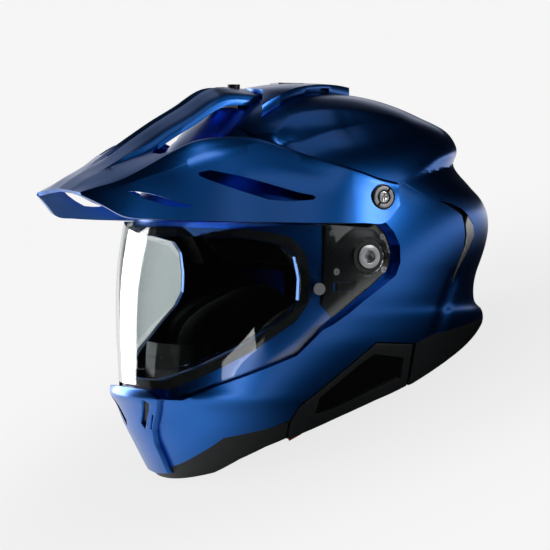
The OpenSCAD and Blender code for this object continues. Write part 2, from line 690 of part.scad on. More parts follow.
// A line drawn towards another by a clearance, and in from its own ends
function inset_line(line, other, by) =
    let (n = len(line) - 1)
    [for (i = [0 : n])
        let (toward = (other[i] - line[i]) / norm(other[i] - line[i]))
        let (inward = i == 0 ? (line[1] - line[0]) / norm(line[1] - line[0])
            : i == n ? (line[n - 1] - line[n]) / norm(line[n - 1] - line[n]) : [0, 0])
        line[i] + by * toward + by * inward];

module comms_bay_right() mirror([1, 0, 0]) comms_bay_left();
module comms_cover_right() mirror([1, 0, 0]) comms_cover_left();

// Rear air outlets: black duct, silver strip beside it, both let into a pocket of the shell
vent_top_shares = [[0.73, 0.235], [0.66, 0.255], [0.6, 0.26]];
vent_low_shares = [[0.72, 0.055], [0.66, 0.05], [0.62, 0.05]];
strip_top_shares = [[0.705, 0.212], [0.68, 0.218], [0.655, 0.22]];
strip_low_shares = [[0.7, 0.08], [0.68, 0.083], [0.655, 0.085]];
vent_depth = 2.6;

module rear_vent_pocket() both_sides()
    ribbon(side_points(vent_top_shares), side_points(vent_low_shares), 4, -2 * over, vent_depth);

module rear_vent_left() color([0.06, 0.07, 0.08]) on_table() difference() {
    ribbon(inset_line(side_points(vent_top_shares), side_points(vent_low_shares), gap),
        inset_line(side_points(vent_low_shares), side_points(vent_top_shares), gap), 4, 0, vent_depth - gap);
    ribbon(side_points(strip_top_shares), side_points(strip_low_shares), 3, -over, vent_depth / 2);
}

module exhaust_strip_left() color("silver") on_table()
    ribbon(inset_line(side_points(strip_top_shares), side_points(strip_low_shares), gap),
        inset_line(side_points(strip_low_shares), side_points(strip_top_shares), gap),
        3, -gap, vent_depth / 2 - gap);

module rear_vent_right() mirror([1, 0, 0]) rear_vent_left();
module exhaust_strip_right() mirror([1, 0, 0]) exhaust_strip_left();

// Crown fairing: raised cap over the top inlets, with the slider in its roof
fairing_rise = 6;
fairing_shares = [[0, -0.305], [0.25, -0.305], [0.46, -0.4], [0.43, -0.28], [0.31, -0.07],
    [0.17, 0.14], [0.08, 0.27], [0, 0.3]];
fairing_vent_d = 4;
fairing_vent_top_shares = [[0.26, -0.12], [0.14, 0.12]];
fairing_vent_low_shares = [[0.42, -0.1], [0.42, 0.3]];
fairing_vent_drop_share = 0.9;
slider_l = 22;
slider_w = 16;
slider_t = 3;
slider_travel = 8;
slider_y_share = -0.06;

module top_prism(half_shares, grow = 0) {
    right = [for (i = [len(half_shares) - 2 : -1 : 1]) [-half_shares[i][0], half_shares[i][1]]];
    linear_extrude(height = 2 * crown_h)
        offset(delta = grow) polygon([for (s = concat(half_shares, right)) [across(s[0]), along(s[1])]]);
}

module slider_pocket()
    translate([-slider_w / 2 - gap, along(slider_y_share) - slider_l / 2 - gap,
        crown_h + fairing_rise - slider_t])
        cube([slider_w + 2 * gap, slider_l + slider_travel + 2 * gap, 2 * slider_t]);

module crown_fairing() color([0.16, 0.34, 0.6]) on_table() difference() {
    intersection() {
        skin_body(-fairing_rise);
        top_prism(fairing_shares);
    }
    skin_body(-gap);
    slider_pocket();
    both_sides() for (i = [0 : 4])
        let (a = mix(fairing_vent_top_shares, i / 4), b = mix(fairing_vent_low_shares, i / 4))
        slot([across(a[0]), along(a[1]), crown_h + fairing_rise - fairing_vent_d],
            [across(b[0]), along(b[1]), up(fairing_vent_drop_share)], fairing_vent_d);
}

module crown_vent_slider() color([0.08, 0.08, 0.09]) on_table() difference() {
    translate([-slider_w / 2, along(slider_y_share) - slider_l / 2, crown_h + fairing_rise - slider_t + gap])
        cube([slider_w, slider_l, slider_t]);
    for (i = [-2 : 2])
        translate([-slider_w / 2, along(slider_y_share) + i * slider_t, crown_h + fairing_rise + gap])
            rotate([0, 90, 0]) cylinder(d = slider_t / 3, h = slider_w, $fn = 16);
}

// Bracket under the rear of the peak's arms
bracket_half_share = 0.1732;
bracket_half = across(bracket_half_share);
bracket_l = 14;

bracket_y = -0.33 * shell_front;
bracket_foot_z = 0.7 * crown_h;
bracket_slot_z = 0.94 * crown_h;
function arm_fall() = peak_top * (1 - peak_shares[7][2][1]) / across(peak_shares[7][2][0]);

module peak_bracket() color([0.07, 0.07, 0.08]) on_table() difference() {
    translate([0, bracket_y, 0]) rotate([90, 0, 0]) linear_extrude(height = bracket_l)
        let (top = peak_top - peak_wall - 2 * gap, edge = top - bracket_half * arm_fall())
        polygon([[-bracket_half, bracket_foot_z], [bracket_half, bracket_foot_z], [bracket_half, edge],
            [0, top], [-bracket_half, edge]]);
    skin_body(-gap);
    both_sides() for (i = [1 : 4])
        slot([i * bracket_half / 5, bracket_y - 2 * bracket_l, bracket_slot_z],
            [i * bracket_half / 5, 0, bracket_slot_z], over);
    translate([0, bracket_y - bracket_l / 2, 0]) cylinder(d = centre_screw_d / 2 + 2 * gap, h = 2 * crown_h);
}

// Nose: raised cover at the middle of the chin bar, with black louvres and a shutter behind them
nose_shares = [[0, -0.562], [0.28, -0.567], [0.372, -0.603], [0.21, -0.742], [0.172, -0.8],
    [0.152, -0.933], [0, -0.942]];
louvre_shares = [[0.29, -0.622], [0.24, -0.606], [0.112, -0.713], [0.14, -0.742]];
nose_dimple_shares = [[0.15, -0.76], [0.21, -0.82]];
grille_bar_x_shares = [0.1, 0.34];
grille_bar_low_shares = [-0.735, -0.695];
grille_bar_pitch_share = 0.026;
shutter_t = 2;
shutter_travel = 5;

module front_prism(half_shares, grow = 0) {
    right = [for (i = [len(half_shares) - 2 : -1 : 1]) [-half_shares[i][0], half_shares[i][1]]];
    rotate([90, 0, 0]) linear_extrude(height = 2 * shell_front)
        offset(delta = grow) polygon([for (s = concat(half_shares, right)) [across(s[0]), up(s[1])]]);
}

module louvre_hole(grow) both_sides() rotate([90, 0, 0]) linear_extrude(height = 2 * shell_front)
    offset(delta = grow) polygon([for (s = louvre_shares) [across(s[0]), up(s[1])]]);

module nose_cover() color([0.14, 0.3, 0.55]) on_table() difference() {
    intersection() {
        skin_body(-nose_rise);
        front_prism(nose_shares);
    }
    skin_body(-gap);
    louvre_hole(0);
    both_sides() for (i = [0 : 3])
        let (a = mix(nose_dimple_shares, i / 3))
        slot([across(a[0]), -2 * shell_front, up(a[1])], [across(a[0]), 0, up(a[1])], over);
}

module chin_vent_window() intersection() {
    louvre_hole(-over);
    translate([-shell_half, -path_reach - shell_front, -chin_drop])
        cube([2 * shell_half, path_reach, chin_drop]);
}

module chin_vent_grille() color([0.04, 0.05, 0.06]) on_table() difference() {
    intersection() {
        skin_body(-nose_rise + over);
        louvre_hole(-gap);
    }
    skin_body(-gap);
    both_sides() for (i = [0 : 4])
        let (rise = grille_bar_pitch_share * i)
        slot([across(grille_bar_x_shares[0]), -2 * shell_front, up(grille_bar_low_shares[0] + rise)],
            [across(grille_bar_x_shares[1]), 0, up(grille_bar_low_shares[1] + rise)], over / 2);
}

// Shutter: plate that slides down over the windows behind the chin liner's face
shutter_w = 60;
shutter_h = 22;

module chin_vent_shutter() color([0.08, 0.08, 0.09]) on_table()
    shutter_place() translate([-shutter_w / 2, gap, -shutter_h]) difference() {
        cube([shutter_w, shutter_t, shutter_h]);
        for (i = [-1, 1]) translate([shutter_w / 2 + i * shutter_w / 3, -over, shutter_h / 2])
            rotate([-90, 0, 0]) cylinder(d = shutter_h / 3, h = shutter_t + 2 * over);
    }

// Pivot mechanism under each ear of the face shield
plate_floor = shield_wide() - shield_t - seat_gap + gap;
ear_drop_share = 0.002;
ear_outer = shield_wide() - across(ear_drop_share);
gear_rim = 3.5;
gear_d = hub_flange_d + 2 * gear_rim;
gear_teeth = 20;
hub_foot_t = 2;
hub_flange_t = 1.2;
plate_gap = 1.5;
plate_screw_d = 5;
plate_screw_places = [[-0.17, -0.062], [0.09, 0.115], [0.095, -0.055], [-0.19, 0.14]];
lever_l = 13;
lever_w = 6;
lever_t = 2;
lever_y_share = -0.12;
lever_z_share = -0.125;
lever_travel = 3;

module along_x(x, y, z) translate([x, y, z]) rotate([0, 90, 0]) children();

module base_plate_left() color([0.07, 0.08, 0.09]) on_table() difference() {
    ribbon(side_points(plate_top_shares), side_points(plate_low_shares), 5,
        shield_t + plate_gap, shield_t + seat_gap - gap, "shield");
    along_x(0, 0, 0) cylinder(d = hub_flange_d + 2 * gap, h = prism_half);
    for (p = plate_screw_places)
        along_x(0, along(p[0]), up(p[1])) cylinder(d = plate_screw_d + 2 * gap, h = prism_half, $fn = 20);
    lever_slot();
}

module lever_slot()
    translate([0, along(lever_y_share) - lever_l / 2 - lever_travel - gap,
        up(lever_z_share) - lever_w / 2 - gap])
        cube([prism_half, lever_l + lever_travel + 2 * gap, lever_w + 2 * gap]);

// Distance from the middle to what lies on the floor of the recess at a place in side view
function on_floor(y_share, z_share) =
    side_x([along(y_share), up(z_share)], "shield") - shield_t - seat_gap + gap;
lever_seat_x = on_floor(lever_y_share, lever_z_share);

module release_lever_left() color([0.35, 0.36, 0.38]) on_table() difference() {
    translate([lever_seat_x, along(lever_y_share) - lever_l / 2, up(lever_z_share) - lever_w / 2])
        cube([lever_t, lever_l, lever_w]);
    for (i = [-2 : 2])
        translate([lever_seat_x + lever_t, along(lever_y_share) + i * over,
            up(lever_z_share) - lever_w / 2 - over / 2])
            cylinder(d = over / 3, h = lever_w + over, $fn = 16);
}

module pivot_hub_left() color("silver") on_table() difference() {
    union() {
        along_x(plate_floor, 0, 0) cylinder(d = hub_flange_d, h = hub_foot_t);
        along_x(plate_floor, 0, 0) cylinder(d = hub_d, h = ear_outer + 2 * gap - plate_floor);
        along_x(ear_outer + gap, 0, 0) cylinder(d = hub_flange_d, h = hub_flange_t);
    }
    along_x(ear_outer, 0, 0) cylinder(d = hub_d / 2, h = 2 * over, $fn = 6);
}

// Toothed ring fixed in the ear of the shield
module shield_gear_left() color([0.2, 0.21, 0.23]) on_table() difference() {
    along_x(ear_outer - shield_t - gap, 0, 0) cylinder(d = gear_d, h = shield_t);
    along_x(0, 0, 0) cylinder(d = hub_d + 2 * run_gap, h = prism_half);
    for (i = [0 : gear_teeth - 1])
        rotate([turn_angle(i, gear_teeth), 0, 0]) along_x(0, gear_d / 2, 0)
            cylinder(d = gear_d / gear_teeth, h = prism_half, $fn = 16);
}

// Screws of one base plate, drawn through both plates
module base_plate_screws() color([0.25, 0.26, 0.28]) on_table() both_sides() for (p = plate_screw_places)
    let (x = on_floor(p[0], p[1]), head = seat_gap - plate_gap - gap)
    difference() {
        along_x(x, along(p[0]), up(p[1])) cylinder(d = plate_screw_d, h = head, $fn = 20);
        along_x(x + head / 2, along(p[0]), up(p[1])) cylinder(d = plate_screw_d / 2, h = head, $fn = 4);
    }

module base_plate_right() mirror([1, 0, 0]) base_plate_left();
module release_lever_right() mirror([1, 0, 0]) release_lever_left();
module pivot_hub_right() mirror([1, 0, 0]) pivot_hub_left();
module shield_gear_right() mirror([1, 0, 0]) shield_gear_left();

// Face shield with a lift tab at its lower left edge, and the insert behind it
nose_notch_half_share = 0.36;
nose_notch_z_share = -0.553;
pin_y_share = -0.275;
pin_z_share = -0.133;
pin_d = 9;
pin_shank_d = 4;
pin_head_t = 1.4;
pin_lean = 11;
insert_slot_pitch_share = 0.1;
insert_slot_z_share = 0.1;
insert_shares = [[-1.3, 0.1], [-0.62, 0.085], [-0.45, 0.045], [-0.34, -0.05], [-0.25, -0.11],
    [-0.25, -0.155], [-0.34, -0.19], [-0.43, -0.25], [-0.61, -0.34], [-0.8, -0.44], [-0.9, -0.48],
    [-1.3, -0.5]];

module pin_place() let (at = [along(pin_y_share), up(pin_z_share)])
    translate([side_x(at, "shield"), at[0], at[1]]) rotate([0, 0, -pin_lean]) rotate([0, 90, 0]) children();

module face_shield() color([0.75, 0.82, 0.86, 0.35]) on_table() difference() {
    union() {
        difference() {
            intersection() {
                shield_body(0);
                side_prism(side_points(shield_outline_shares));
            }
            shield_body(shield_t);
        }
        lift_tab();
    }
    both_sides() {
        along_x(0, 0, 0) cylinder(d = gear_d + 2 * gap, h = prism_half);
        pin_place() translate([0, 0, -pin_d]) cylinder(d = pin_shank_d + 2 * gap, h = 2 * pin_d, $fn = 16);
    }
    translate([-across(nose_notch_half_share), -2 * shell_front, up(nose_notch_z_share) - shell_front])
        cube([2 * across(nose_notch_half_share), 2 * shell_front, shell_front]);
}

tab_d = 5;
tab_level_share = -0.52;
tab_ends_shares = [[0.46, -0.575], [0.6, -0.535]];
tab_steps = 8;

module lift_tab() for (i = [0 : tab_steps - 1])
    let (a = mix(tab_ends_shares, i / tab_steps), b = mix(tab_ends_shares, (i + 1) / tab_steps))
    slot([across(a[0]), -shield_front_at(across(a[0])), up(a[1])],
        [across(b[0]), -shield_front_at(across(b[0])), up(b[1])], tab_d);

function shield_front_at(x) =
    let (half = across(share_in(shield_shares, tab_level_share, 1)))
    shell_front * share_in(shield_shares, tab_level_share, 2)
        * pow(1 - pow(x / half, 2 / front_square_share), front_square_share / 2);

module anti_fog_insert() color([0.8, 0.86, 0.86, 0.35]) on_table() difference() {
    intersection() {
        shield_body(shield_t + gap);
        side_prism(side_points(insert_shares));
    }
    shield_body(shield_t + gap + insert_t);
    both_sides() pin_place() translate([0, 0, -pin_d])
        cylinder(d = pin_shank_d + 2 * gap, h = 2 * pin_d, $fn = 16);
    for (i = [-4 : 4])
        slot([across(insert_slot_pitch_share * i), -2 * shell_front, up(insert_slot_z_share)],
            [across(insert_slot_pitch_share * i), 0, up(insert_slot_z_share)], gap);
}

module insert_pins() color("silver") on_table() both_sides() pin_place() {
    translate([0, 0, gap]) cylinder(d = pin_d, h = pin_head_t);
    translate([0, 0, -shield_t - insert_t - pin_head_t])
        cylinder(d = pin_shank_d, h = shield_t + insert_t + 2 * pin_head_t);
}

// Peak: sections from the front lip back, as shares. Each row holds the reach, the height of the
// middle, then width and height of the arm's edge, the ridge, the crease and the lower edge.
peak_shares = [
    [-1, 0.397, [0.2, 0.385], [0.35, 0.377], [0.358, 0.37], [0.366, 0.36]],
    [-0.94, 0.46, [0.205, 0.45], [0.41, 0.41], [0.44, 0.362], [0.47, 0.30]],
    [-0.88, 0.515, [0.21, 0.5], [0.46, 0.44], [0.51, 0.355], [0.56, 0.238]],
    [-0.785, 0.62, [0.22, 0.585], [0.52, 0.52], [0.59, 0.385], [0.645, 0.223]],
    [-0.69, 0.72, [0.23, 0.665], [0.575, 0.61], [0.66, 0.415], [0.717, 0.215]],
    [-0.61, 0.8, [0.235, 0.745], [0.62, 0.67], [0.71, 0.44], [0.77, 0.211]],
    [-0.515, 0.885, [0.24, 0.83], [0.67, 0.692], [0.765, 0.462], [0.827, 0.207]],
    [-0.39, 1, [0.24, 0.945], [0.735, 0.685], [0.828, 0.477], [0.885, 0.204]],
    [-0.22, 1, [0.24, 0.95], [0.84, 0.585], [0.905, 0.446], [0.958, 0.2]],
    [-0.07, 1, [0.24, 0.95], [0.9, 0.51], [0.945, 0.4], [0.985, 0.198]],
    [0.05, 1, [0.24, 0.95], [0.93, 0.446], [0.97, 0.346], [1, 0.197]],
    [0.125, 1, [0.24, 0.95], [0.94, 0.42], [0.97, 0.36], [0.985, 0.3]]
];
wing_clear_from_share = -0.25;
wing_gap = 1;
ridge_gap = 2.5;
arm_slot_half_share = 0.02;
arm_slot_y_shares = [-0.8, -0.42];

// Ahead of the brow the rows follow the reach of the peak; behind it they follow the shell
peak_brow_share = 0.39;
peak_back_share = 1.3878;
peak_back = peak_back_share * shell_front;
peak_brow = peak_brow_share * peak_back;
function peak_y(s) = s > -peak_brow_share ? s * peak_back
    : (s + peak_brow_share) * (peak_reach - peak_brow) / (1 - peak_brow_share) - peak_brow;
peak_top = crown_h + peak_rise;

// The side faces of the wings stand off the shell behind the brow
function wing_point(y, p, stand_off) =
    let (z = p[1] * crown_h, x = across(p[0]))
    [y > peak_y(wing_clear_from_share) ? max(x, skin_x(y, z) + peak_wall + stand_off) : x, z];

function peak_half_section(row) =
    let (y = peak_y(row[0]))
    [[0, row[1] * peak_top], [across(row[2][0]), row[2][1] * peak_top],
        for (k = [3 : 5]) wing_point(y, row[k], k == 3 ? ridge_gap : wing_gap)];

// Unit normals of an open profile, pointing out of the peak
function profile_normal(pts, i) =
    let (a = pts[max(i - 1, 0)], b = pts[min(i + 1, len(pts) - 1)], d = (b - a) / norm(b - a))
    i == 0 ? [0, 1] : [-d[1], d[0]];

function peak_section(row) =
    let (y = peak_y(row[0]), outer = peak_half_section(row))
    let (inner = [for (i = [0 : 4]) outer[i] - peak_wall * profile_normal(outer, i)])
    let (half = concat(outer, [for (i = [4 : -1 : 0]) inner[i]]))
    concat([for (p = outer) [p[0], y, p[1]]], [for (i = [4 : -1 : 0]) [inner[i][0], y, inner[i][1]]],
        [for (i = [1 : 4]) [-inner[i][0], y, inner[i][1]]],
        [for (i = [4 : -1 : 1]) [-outer[i][0], y, outer[i][1]]]);

module peak_sheet() {
    rings = [for (row = peak_shares) peak_section(row)];
    n = len(rings[0]);
    last = len(rings) - 1;
    faces = concat(
        [for (j = [0 : last - 1], i = [0 : n - 1], half = [0, 1])
            let (a = j * n + i, b = j * n + (i + 1) % n)
            half == 0 ? [a, b + n, b] : [a, a + n, b + n]],
        [for (f = cap_faces(0, n)) [f[0], f[2], f[1]]], cap_faces(last * n, n));
    polyhedron(points = [for (r = rings) each r], faces = faces, convexity = 10);
}

// End caps between the outer and the inner profile, as strips
function cap_faces(base, n) = [
    for (i = [0 : 3], half = [0, 1]) half == 0
        ? [base + i, base + 9 - i, base + i + 1] : [base + i + 1, base + 9 - i, base + 8 - i],
    for (i = [0 : 3], half = [0, 1])
        let (o = (n - i) % n, o2 = n - i - 1, q = 9 + i, q2 = 10 + i)
        half == 0 ? [base + o, base + o2, base + q] : [base + o2, base + q2, base + q]
];

opening_lip = 3;
opening_first_row = 4;
opening_front_shares = [[0.25, -0.66], [0.34, -0.71], [0.46, -0.71]];
opening_back_shares = [[0, 0.3], [0, -0.235], [0.25, -0.235]];

// Opening between an arm and its wing: it follows the ridge, a lip's width in from it
function opening_points() = concat(
    [for (s = opening_front_shares) [across(s[0]), peak_y(s[1])]],
    [for (k = [opening_first_row : len(peak_shares) - 1])
        [peak_half_section(peak_shares[k])[2][0] - opening_lip, peak_y(peak_shares[k][0])]],
    [[peak_half_section(peak_shares[len(peak_shares) - 1])[2][0] - opening_lip,
        peak_y(opening_back_shares[0][1])]],
    [for (s = opening_back_shares) [across(s[0]), peak_y(s[1])]]);

wing_slot_shares = [[-0.63, 0.49], [-0.59, 0.52], [-0.4, 0.46], [-0.21, 0.385], [-0.19, 0.35],
    [-0.2, 0.33], [-0.4, 0.4], [-0.6, 0.455]];
brow_slot_shares = [[-0.86, 0.36], [-0.8, 0.375], [-0.66, 0.3], [-0.65, 0.28], [-0.8, 0.325]];

function reach_points(shares) = [for (s = shares) [peak_y(s[0]), s[1] * crown_h]];

peak_screw_y_share = 0.069;
peak_screw_z_share = 0.349;
peak_screw_y = along(peak_screw_y_share);
peak_screw_z = up(peak_screw_z_share);
peak_screw_x = skin_x(peak_screw_y, peak_screw_z) + peak_wall + wing_gap;
screw_head_t = 3;
screw_shank_l = 14;
screw_sink = 1;
centre_screw_d = 10;

module peak_screw_bores() both_sides()
    along_x(peak_screw_x - screw_shank_l - over, peak_screw_y, peak_screw_z)
        cylinder(d = peak_shank_d + 2 * gap, h = screw_shank_l + over);

module peak() color([0.13, 0.32, 0.6]) on_table() difference() {
    peak_sheet();
    both_sides() linear_extrude(height = 2 * crown_h) polygon(opening_points());
    let (ahead = peak_y(arm_slot_y_shares[0]), behind = peak_y(arm_slot_y_shares[1]))
        translate([-across(arm_slot_half_share), ahead, 0])
            cube([2 * across(arm_slot_half_share), behind - ahead, 2 * crown_h]);
    side_prism(reach_points(wing_slot_shares));
    side_prism(reach_points(brow_slot_shares));
    both_sides() {
        along_x(peak_screw_x - 2 * peak_wall, peak_screw_y, peak_screw_z)
            cylinder(d = peak_shank_d + 2 * gap, h = 4 * peak_wall);
        along_x(peak_screw_x - screw_sink, peak_screw_y, peak_screw_z)
            cylinder(d = peak_screw_d + 2 * gap, h = 2 * peak_wall);
    }
    translate([0, bracket_y - bracket_l / 2, 0]) cylinder(d = centre_screw_d / 2 + 2 * gap, h = 2 * crown_h);
}

module peak_screw_left() color([0.3, 0.31, 0.33]) on_table() difference() {
    union() {
        along_x(peak_screw_x - screw_sink + gap, peak_screw_y, peak_screw_z)
            cylinder(d = peak_screw_d, h = screw_head_t);
        along_x(peak_screw_x - screw_shank_l, peak_screw_y, peak_screw_z)
            cylinder(d = peak_shank_d, h = screw_shank_l);
    }
    translate([peak_screw_x + over / 2 + screw_head_t, peak_screw_y, peak_screw_z])
        for (a = [0, 90]) rotate([a, 0, 0])
        cube([2 * over, peak_screw_d / 3, over / 2], center = true);
}

module peak_screw_right() mirror([1, 0, 0]) peak_screw_left();

module peak_centre_screw() color([0.3, 0.31, 0.33]) on_table()
    translate([0, bracket_y - bracket_l / 2, peak_top + gap]) difference() {
        union() {
            cylinder(d = centre_screw_d, h = screw_head_t);
            translate([0, 0, -bracket_l / 2]) cylinder(d = centre_screw_d / 2, h = bracket_l / 2);
        }
        translate([0, 0, screw_head_t / 2]) cylinder(d = centre_screw_d / 3, h = screw_head_t, $fn = 6);
    }

// Chin strap: flat bands from an anchor on each side to the pair of rings
strap_path_shares = [[1, -0.4], [1, -0.606], [0.964, -0.65], [0.852, -0.668]];
strap_end_z_share = -0.672;
strap_pad_from_share = 0.34;
strap_pad_to_share = 0.805;
strap_y_share = -0.14;
anchor_d = 18;
anchor_t = 2;
ring_in = 26;
ring_gap = 1;

ring_clear = 0.8;
strap_end = [ring_in / 2 + ring_wire_d + ring_clear, up(strap_end_z_share)];
strap_seat = cheek_back - strap_slot / 2;
function strap_line() = concat([for (s = strap_path_shares) [strap_seat * s[0], up(s[1])]], [strap_end]);
function thick_line(line, t) = concat(
    [for (i = [0 : len(line) - 1]) line[i] + t / 2 * line_normal(line, i)],
    [for (i = [len(line) - 1 : -1 : 0]) line[i] - t / 2 * line_normal(line, i)]);
function line_normal(line, i) =
    let (a = line[max(i - 1, 0)], b = line[min(i + 1, len(line) - 1)], d = (b - a) / norm(b - a))
    [-d[1], d[0]];

module chin_strap_left() color([0.07, 0.07, 0.08]) on_table()
    translate([0, along(strap_y_share), 0]) rotate([90, 0, 0]) translate([0, 0, -strap_w / 2])
        linear_extrude(height = strap_w) polygon(thick_line(strap_line(), strap_t));

module chin_strap_right() mirror([1, 0, 0]) chin_strap_left();

module anchor_place() let (top = strap_line()[0])
    along_x(top[0] + strap_t / 2 + gap, along(strap_y_share), top[1] - strap_w / 3) children();

module strap_anchors() color([0.3, 0.31, 0.33]) on_table() both_sides()
    anchor_place() cylinder(d = anchor_d, h = anchor_t);

// Two rings that the free end threads through, carried by the left strap's end
ring_stack_pitch = ring_wire_d + ring_gap;

module strap_ring() color("silver") on_table() ring_at(0);
module keeper_ring() color("silver") on_table() ring_at(1);

module ring_at(index)
    translate([0, along(strap_y_share), strap_end[1]]) rotate([rest_tilt, 0, 0])
        translate([0, 0, (index - 0.5) * ring_stack_pitch])
            rotate_extrude($fn = 40) translate([(ring_in + ring_wire_d) / 2, 0])
                circle(d = ring_wire_d, $fn = 20);

module strap_pads() color([0.1, 0.1, 0.11]) on_table() both_sides()
    translate([strap_seat * strap_pad_from_share, along(strap_y_share) - strap_w / 2 - over / 2,
        strap_end[1] + strap_t + gap])
        cube([strap_seat * (strap_pad_to_share - strap_pad_from_share), strap_w + over, strap_t]);

// Red pull tabs of the cheek pads, and the snaps that hold the pads
tab_w = 12;
tab_l = 28;
tab_t = 1.6;
snap_d = 12;
snap_places = [[-34, 16], [34, 16], [24, -20]];

module release_tabs() color([0.75, 0.08, 0.08]) on_table() both_sides()
    cheek_place()
        translate([cheek_back - strap_slot + gap, -cheek_length / 2 + gap, -cheek_height / 3 - tab_l + gap])
        cube([tab_t, tab_w, tab_l]);

module liner_snaps() color([0.12, 0.12, 0.13]) on_table() both_sides() cheek_place()
    for (p = snap_places) along_x(cheek_back - strap_slot + gap, p[0], p[1])
        cylinder(d = snap_d, h = strap_slot - 2 * gap);

outer_shell();
impact_liner();
chin_impact_liner();
cheek_core_left();
cheek_core_right();
crown_pad();
cheek_pad_left();
cheek_pad_right();
neck_roll();
chin_curtain();
breath_guard();
eyeport_gasket();
chin_trim();
base_trim();
rim_seal();
comms_bay_left();
comms_bay_right();
comms_cover_left();
comms_cover_right();
rear_vent_left();
rear_vent_right();
exhaust_strip_left();
exhaust_strip_right();
crown_fairing();
crown_vent_slider();
peak_bracket();
nose_cover();
chin_vent_grille();
chin_vent_shutter();
base_plate_left();
base_plate_right();
base_plate_screws();
pivot_hub_left();
pivot_hub_right();
release_lever_left();
release_lever_right();
face_shield();
shield_gear_left();
shield_gear_right();
anti_fog_insert();
insert_pins();
peak();
peak_screw_left();
peak_screw_right();
peak_centre_screw();
chin_strap_left();
chin_strap_right();
strap_anchors();
strap_ring();
keeper_ring();
strap_pads();
release_tabs();
liner_snaps();
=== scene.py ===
"""Looks of the dual sport helmet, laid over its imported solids.

Lengths are in metres. Pieces are shaped in the worn frame (X to the wearer's left, -Y ahead, Z up,
origin midway between the pivots of the face shield) and then laid on the rim, as the solids are.
"""
import json
import logging
import math
from dataclasses import dataclass
from enum import Enum
from typing import Callable, Sequence

import bmesh
import bpy
import numpy as np
from mathutils import Matrix, Vector


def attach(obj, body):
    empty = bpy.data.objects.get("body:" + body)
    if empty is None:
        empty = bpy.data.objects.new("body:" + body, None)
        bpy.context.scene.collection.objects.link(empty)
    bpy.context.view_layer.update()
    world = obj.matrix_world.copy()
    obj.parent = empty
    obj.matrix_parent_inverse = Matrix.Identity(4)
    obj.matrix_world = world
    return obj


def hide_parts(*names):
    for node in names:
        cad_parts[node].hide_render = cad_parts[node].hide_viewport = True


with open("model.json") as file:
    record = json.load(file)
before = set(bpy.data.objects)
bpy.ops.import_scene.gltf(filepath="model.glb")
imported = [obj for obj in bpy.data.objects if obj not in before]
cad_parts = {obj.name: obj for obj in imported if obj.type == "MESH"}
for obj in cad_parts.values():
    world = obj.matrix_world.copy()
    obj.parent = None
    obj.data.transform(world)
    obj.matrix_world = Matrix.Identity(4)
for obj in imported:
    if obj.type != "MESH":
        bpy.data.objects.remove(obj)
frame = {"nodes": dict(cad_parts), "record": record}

LOG = logging.getLogger("helmet")
MM = 0.001
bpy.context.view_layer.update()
REST_TILT = math.radians(25)
REST_HEIGHT = 109 * MM
BENCH_SHIFT = 14.6 * MM
TABLE = Matrix.Translation((0, BENCH_SHIFT, REST_HEIGHT)) @ Matrix.Rotation(-REST_TILT, 4, "X")

SHELL_HALF = 127 * MM
SHELL_FRONT = 147 * MM
SHELL_REAR = 156 * MM
CROWN = 130 * MM
CHIN = 181 * MM
WALL = 4 * MM
GAP = 0.3 * MM
FRONT_SQUARE = 0.93
REAR_SQUARE = 0.89
SHIELD_THICKNESS = 2.5 * MM
SEAT_GAP = 4.5 * MM
PEAK_REACH = 204 * MM
PEAK_TOP = 131 * MM
PEAK_WALL = 3 * MM
ACROSS = 0.19

Outline = Sequence[tuple[float, float]]

OUTLET: Outline = ((64.8, 43.1), (78.8, 40.8), (92.6, 36.1), (98.8, 31.9), (106.3, 23.6), (107.8, 15),
                   (100.8, 4.2),
                   (86.3, -13.3), (80.6, -22.4), (81.9, -14.4), (86.3, -5.5), (92.8, 7), (94.3, 15.5),
                   (93.3, 24), (91.2, 31), (78.8, 37.6))

SKIN = (
    (0.985, 0.22, 0.17, 0.20), (0.93, 0.46, 0.36, 0.44), (0.84, 0.645, 0.50, 0.63),
    (0.73, 0.775, 0.612, 0.80), (0.677, 0.82, 0.658, 0.824), (0.615, 0.86, 0.703, 0.833),
    (0.54, 0.90, 0.755, 0.82), (0.415, 0.945, 0.818, 0.89), (0.323, 0.965, 0.86, 0.965),
    (0.254, 0.977, 0.878, 0.994), (0.17, 0.988, 0.899, 1), (0.06, 0.997, 0.922, 0.98),
    (-0.017, 1, 0.933, 0.952), (-0.083, 1, 0.941, 0.917), (-0.155, 0.998, 0.948, 0.90),
    (-0.21, 0.993, 0.953, 0.91), (-0.25, 0.99, 0.957, 0.96), (-0.287, 0.985, 0.961, 0.968),
    (-0.354, 0.975, 0.967, 0.925), (-0.45, 0.95, 0.978, 0.88), (-0.55, 0.918, 0.992, 0.82),
    (-0.60, 0.90, 1, 0.79), (-0.65, 0.88, 0.965, 0.76), (-0.75, 0.83, 0.918, 0.68),
    (-0.87, 0.755, 0.845, 0.60), (-1, 0.66, 0.76, 0.50), (-1.12, 0.58, 0.69, 0.42),
)
INNER = (
    (0.985, 0.22, 0.17, 0.20), (0.93, 0.46, 0.36, 0.43), (0.84, 0.645, 0.50, 0.60),
    (0.71, 0.79, 0.63, 0.735), (0.54, 0.90, 0.755, 0.80), (0.32, 0.965, 0.86, 0.86),
    (0.1, 0.995, 0.915, 0.885), (-0.12, 1, 0.945, 0.885), (-0.33, 0.98, 0.965, 0.87),
    (-0.5, 0.935, 0.985, 0.83), (-0.6, 0.90, 1, 0.785), (-0.7, 0.855, 0.94, 0.72),
    (-0.87, 0.755, 0.845, 0.60), (-1.12, 0.58, 0.69, 0.42),
)
